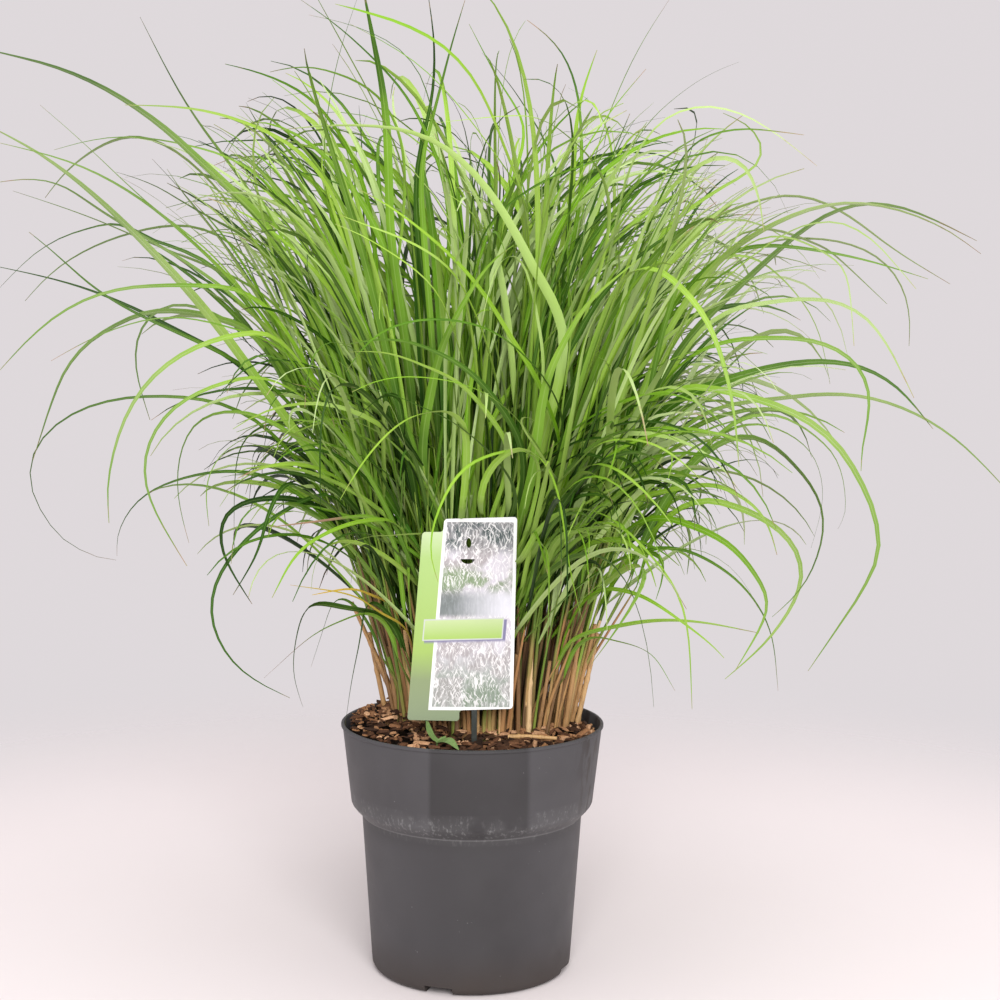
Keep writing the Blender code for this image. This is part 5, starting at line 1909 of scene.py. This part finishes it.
@dataclass
class OldCanes:
    """Last year's canes: the solids' eight, more stubs among the shoots, and a loose piece."""

    bed: SoilBed
    stubs: int = 24
    radius: float = 0.0030
    loose_radius: float = 0.0024
    stub_radius: Pair = (0.0016, 0.0027)
    stub_height: Pair = (0.05, 0.135)
    ring_centre: Pair = (0.010, 0.034)
    ring_radii: Pair = (0.106, 0.078)
    finish: CaneFinish = CaneFinish()

    def __post_init__(self) -> None:
        """Makes the finish that all canes share."""
        self.material = self.finish.material()

    def build(self) -> list[Piece]:
        """Builds the canes."""
        made = [self.cane_on(node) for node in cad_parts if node.startswith("old_cane_")]
        return made + [self.build_stubs(), self.build_loose()]

    def cane_on(self, node: str) -> Piece:
        """A detailed cane in place of one of the solids.

        Args:
            node: The solid's name.

        Returns:
            The cane.
        """
        low, high = box_corners(node)
        points = np.array([list(v.co) for v in bpy.data.objects[node].data.vertices])
        foot = points[points[:, 2] < low.z + 0.002].mean(axis=0)
        top = points[points[:, 2] > high.z - 0.002].mean(axis=0)
        crowd = Crowd()
        self.add_cane(crowd, Vector(foot), Vector(top), self.radius)
        piece = crowd.piece(f"{node}_stalk", 8)
        self.dress(piece)
        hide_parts(node)
        return piece

    def dress(self, piece: Piece) -> None:
        """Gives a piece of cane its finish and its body."""
        piece.data.materials.append(self.material)
        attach(piece, ROOT)

    def add_cane(self, crowd: Crowd, foot: Vector, top: Vector, radius: float) -> None:
        """Adds a cane with swollen joints to a crowd.

        Args:
            crowd: Where it goes.
            foot: Its lower end.
            top: Its cut end.
            radius: Its radius between joints.
        """
        chance = random.Random(round(foot.x * 100000) + round(top.y * 100000))
        course = smooth_course([foot, foot.lerp(top, 0.45) + Vector((0, 0, 0.001)), top], 22)
        radii = np.full(len(course), radius)
        for joint in (6 + chance.randint(-1, 1), 14 + chance.randint(-1, 1)):
            radii[joint] *= 1.22
            radii[joint + 1] *= 0.92
        radii *= np.linspace(1.05, 0.85, len(course))
        crowd.add(tube(course, radii, 8), chance.triangular(0.0, 0.9, 0.40))

    def build_stubs(self) -> Piece:
        """More cut stubs at the clump's edge, as one joined mesh.

        Returns:
            The stubs.
        """
        chance = random.Random(SEED + 5)
        crowd = Crowd()
        for number in range(self.stubs):
            turn = math.radians(165 + 210 * (number + chance.random()) / self.stubs)
            share = chance.uniform(0.70, 1.0)
            x = self.ring_centre[0] + self.ring_radii[0] * share * math.cos(turn)
            y = self.ring_centre[1] + self.ring_radii[1] * share * math.sin(turn)
            foot = Vector((x, y, self.bed.height(x, y) - 0.006))
            lean = chance.uniform(0.10, 0.42) * abs(math.cos(turn)) + chance.uniform(-0.05, 0.12)
            height = chance.uniform(*self.stub_height)
            top = foot + Vector((math.cos(turn) * lean, math.sin(turn) * lean * 0.6, 1)) * height
            self.add_cane(crowd, foot, top, chance.uniform(*self.stub_radius))
        piece = crowd.piece("cut_stubs", 8)
        self.dress(piece)
        return piece

    def build_loose(self) -> Piece:
        """The piece of cane that lies on the soil.

        Returns:
            The loose cane.
        """
        low, high = box_corners("loose_cane")
        z = (low.z + high.z) / 2
        left, right = Vector((low.x, high.y - 0.003, z)), Vector((high.x, low.y + 0.003, z))
        crowd = Crowd()
        self.add_cane(crowd, left, right, self.loose_radius)
        piece = crowd.piece("loose_stalk", 8)
        self.dress(piece)
        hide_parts("loose_cane")
        return piece


# Label and seedling


@dataclass
class Label:
    """The die-cut card with its slots, and the stake behind it.

    A corner has its place from the card's left and foot, and whether it is rounded. A slot has its
    middle, width and height, and whether it is a half moon.
    """

    corners: tuple[tuple[float, float, bool], ...] = (
        (0.0, 0.0007, True), (0.0556, 0.0, True),
        (0.0556, 0.0117, False), (0.1127, 0.0137, True),
        (0.1159, 0.2197, True), (0.0387, 0.2170, True),
        (0.0377, 0.2032, False), (0.0155, 0.2030, True),
    )
    rounding: float = 0.0035
    slots: tuple[tuple[float, float, float, float, bool], ...] = (
        (0.0648, 0.1916, 0.0053, 0.0106, False), (0.0638, 0.1719, 0.0148, 0.0052, True),
    )
    stake_edge: float = 0.0005
    stake: StakePlastic = StakePlastic()

    def build(self) -> list[Piece]:
        """Builds the card and the stake."""
        return [self.build_card(), self.build_stake()]

    def build_card(self) -> Piece:
        """Shapes the card from a flat ring of corners, rounds it, thickens it and cuts its slots.

        Returns:
            The card.
        """
        low, high = box_corners("label_card")
        deselect()
        bpy.ops.mesh.primitive_circle_add(vertices=len(self.corners), radius=0.05, fill_type="NGON")
        card = take_active("label_plate")
        for point, (x, z, rounded) in zip(card.data.vertices, self.corners):
            point.co = (low.x + x, low.y, low.z + z)
            point.select = rounded
        bpy.ops.object.mode_set(mode="EDIT")
        bpy.ops.mesh.select_mode(type="VERT")
        bpy.ops.mesh.bevel(offset=self.rounding, segments=5, affect="VERTICES")
        bpy.ops.mesh.select_all(action="SELECT")
        bpy.ops.mesh.extrude_region_move(TRANSFORM_OT_translate={"value": (0, high.y - low.y, 0)})
        bpy.ops.object.mode_set(mode="OBJECT")
        for x, z, width, tall, half in self.slots:
            self.cut_slot(card, Vector((low.x + x, low.y, low.z + z)), (width, tall), half)
        settle(card, 30)
        card.data.materials.append(CardPrint(low.x, low.z, high.z - low.z).material())
        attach(card, ROOT)
        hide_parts("label_card")
        return card

    def cut_slot(self, card: Piece, centre: Vector, size: Pair, half: bool) -> None:
        """Cuts a round-ended slot through the card.

        Args:
            card: The card.
            centre: The slot's middle.
            size: Its width and its height.
            half: Whether its upper edge is straight.
        """
        deselect()
        bpy.ops.mesh.primitive_cylinder_add(
            vertices=24, radius=0.5, depth=0.02, location=centre, rotation=(math.pi / 2, 0, 0))
        cutter = bpy.context.active_object
        bpy.ops.object.transform_apply(location=False, rotation=True, scale=False)
        cutter.scale = (size[0], 1.0, size[1] * (2.0 if half else 1.0))
        cutter.location.z += size[1] / 2 if half else 0.0
        middle = tuple(cutter.location)
        bpy.ops.object.transform_apply(location=True, rotation=False, scale=True)
        if half:
            bpy.ops.object.mode_set(mode="EDIT")
            bpy.ops.mesh.select_all(action="SELECT")
            bpy.ops.mesh.bisect(
                plane_co=middle, plane_no=(0, 0, 1), use_fill=True, clear_outer=True)
            bpy.ops.object.mode_set(mode="OBJECT")
        cut_away(card, cutter)

    def build_stake(self) -> Piece:
        """Shapes the stake from a bar with rounded edges.

        Returns:
            The stake.
        """
        low, high = box_corners("label_stake")
        deselect()
        bpy.ops.mesh.primitive_cube_add(size=1, location=(low + high) / 2, scale=high - low)
        stake = take_active("label_stick")
        bpy.ops.object.transform_apply(location=True, rotation=True, scale=True)
        bevel = stake.modifiers.new("edges", "BEVEL")
        bevel.width = self.stake_edge
        bevel.segments = 3
        apply_modifiers(stake)
        settle(stake, 40)
        stake.data.materials.append(self.stake.material())
        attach(stake, ROOT)
        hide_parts("label_stake")
        return stake


@dataclass
class Seedling:
    """The small broad-leaved seedling at the front.

    A leaflet has its half width and two places: pixels across and down, and metres in depth.
    """

    fork: Pair = (437, 742)
    stem_radius: float = 0.0010
    leaflets: tuple[tuple[float, tuple[Triple, ...]], ...] = (
        (0.0056, ((449, 741, -0.106), (459, 750, -0.112))),
        (0.0040, ((430, 733, -0.088), (426, 716, -0.076))),
        (0.0022, ((443, 738, -0.092), (446, 736, -0.088))),
    )
    finish: LeafletFinish = LeafletFinish()

    def build(self) -> Piece:
        """Grows the stem and its leaves, as one joined mesh.

        Returns:
            The seedling.
        """
        low, high = box_corners("seedling")
        foot = Vector((low.x + 0.002, high.y - 0.002, low.z))
        crowd = Crowd()
        fork = photo_point(*self.fork, foot.y - 0.006)
        stem = smooth_course([foot, foot.lerp(fork, 0.5), fork], 8)
        crowd.add(tube(stem, np.full(len(stem), self.stem_radius), 4), 0.5)
        for half, ends in self.leaflets:
            course = smooth_course([fork] + [photo_point(*end) for end in ends], 12)
            crowd.add(BladeShape(half, 0.2, 0.15, 0.2, 0.0006).rings(course), 0.6)
        piece = crowd.piece("seedling_plant", 4)
        piece.data.materials.append(self.finish.material())
        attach(piece, ROOT)
        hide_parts("seedling")
        return piece


# Stage, lights and camera


@dataclass(frozen=True)
class Lamp:
    """A square lamp that points at the plant."""

    name: str
    place: Triple
    size: float
    watts: float


@dataclass(frozen=True)
class Studio:
    """A plain pale floor that fades into the background, soft lights and the camera."""

    background: Colour = (0.735, 0.693, 0.712)
    floor: Colour = (0.760, 0.705, 0.705)
    cloud: Colour = (0.70, 0.63, 0.62)
    floor_radius: float = 3.0
    floor_level: float = -0.0006
    fade: Pair = (0.7, 1.7)
    lamps: tuple[Lamp, ...] = (
        Lamp("key", (0.3, -2.7, 1.75), 1.7, 107.0),
        Lamp("top", (0.1, 0.1, 2.8), 2.2, 27.0),
    )
    aim: Triple = (0.0, 0.0, 0.6)
    sensor: float = 36.0

    def build(self) -> None:
        """Sets up the floor, the lights and the camera."""
        self.build_floor()
        self.build_lights()
        self.build_camera()

    def build_floor(self) -> None:
        """A disc under the pot whose edge fades out."""
        deselect()
        bpy.ops.mesh.primitive_circle_add(
            vertices=96, radius=self.floor_radius, fill_type="NGON",
            location=(0, 0, self.floor_level))
        floor = take_active("floor")
        bpy.ops.object.transform_apply(location=True, rotation=True, scale=True)
        g = Graph("floor")
        where = g.place()
        x, y, _ = g.axes(where)
        far = (x * x + y * y).math("SQRT")
        cloud = g.noise(where, 3.0, 3.0)
        g.finish(g.mix(cloud * 0.3, self.floor, self.cloud), 0.7)
        g.feed(g.shader.inputs["Alpha"], 1 - far.step(*self.fade))
        floor.data.materials.append(g.material)

    def build_lights(self) -> None:
        """A pale surround, a broad light from the front above and a softer one straight above."""
        world = bpy.data.worlds.new("studio")
        bpy.context.scene.world = world
        world.use_nodes = True
        surround = world.node_tree.nodes["Background"]
        surround.inputs["Color"].default_value = (*self.background, 1.0)
        surround.inputs["Strength"].default_value = 1.0
        for lamp in self.lamps:
            area = bpy.data.lights.new(lamp.name, "AREA")
            area.energy = lamp.watts
            area.size = lamp.size
            light = bpy.data.objects.new(lamp.name, area)
            light.location = lamp.place
            aim = Vector(self.aim) - Vector(lamp.place)
            light.rotation_euler = aim.to_track_quat("-Z", "Y").to_euler()
            bpy.context.scene.collection.objects.link(light)

    def build_camera(self) -> None:
        """The camera at the photograph's place."""
        lens = bpy.data.cameras.new("camera")
        lens.sensor_width = self.sensor
        lens.lens = self.sensor * FOCAL_PIXELS / PHOTO_SIDE
        lens.clip_start = 0.05
        camera = bpy.data.objects.new("camera", lens)
        turn = Matrix.Rotation(math.pi / 2 - PITCH, 4, "X") @ Matrix.Rotation(ROLL, 4, "Z")
        camera.matrix_world = Matrix.Translation(EYE) @ turn
        bpy.context.scene.collection.objects.link(camera)
        bpy.context.scene.camera = camera
        bpy.context.scene.view_settings.view_transform = "Standard"


def report(pieces: list[Piece]) -> None:
    """Logs each piece's name and size."""
    for piece in pieces:
        LOG.info("%s: %d faces", piece.name, len(piece.data.polygons))


def main() -> None:
    """Builds the sub-assemblies in order and reports each."""
    logging.basicConfig(level=logging.INFO, format="%(name)s %(message)s")
    bed = SoilBed()
    report([Pot().build()])
    report(bed.build())
    report(Clump(bed).build())
    report(OldCanes(bed).build())
    report(Label().build())
    report([Seedling().build()])
    Studio().build()


if __name__ == "__main__":
    main()
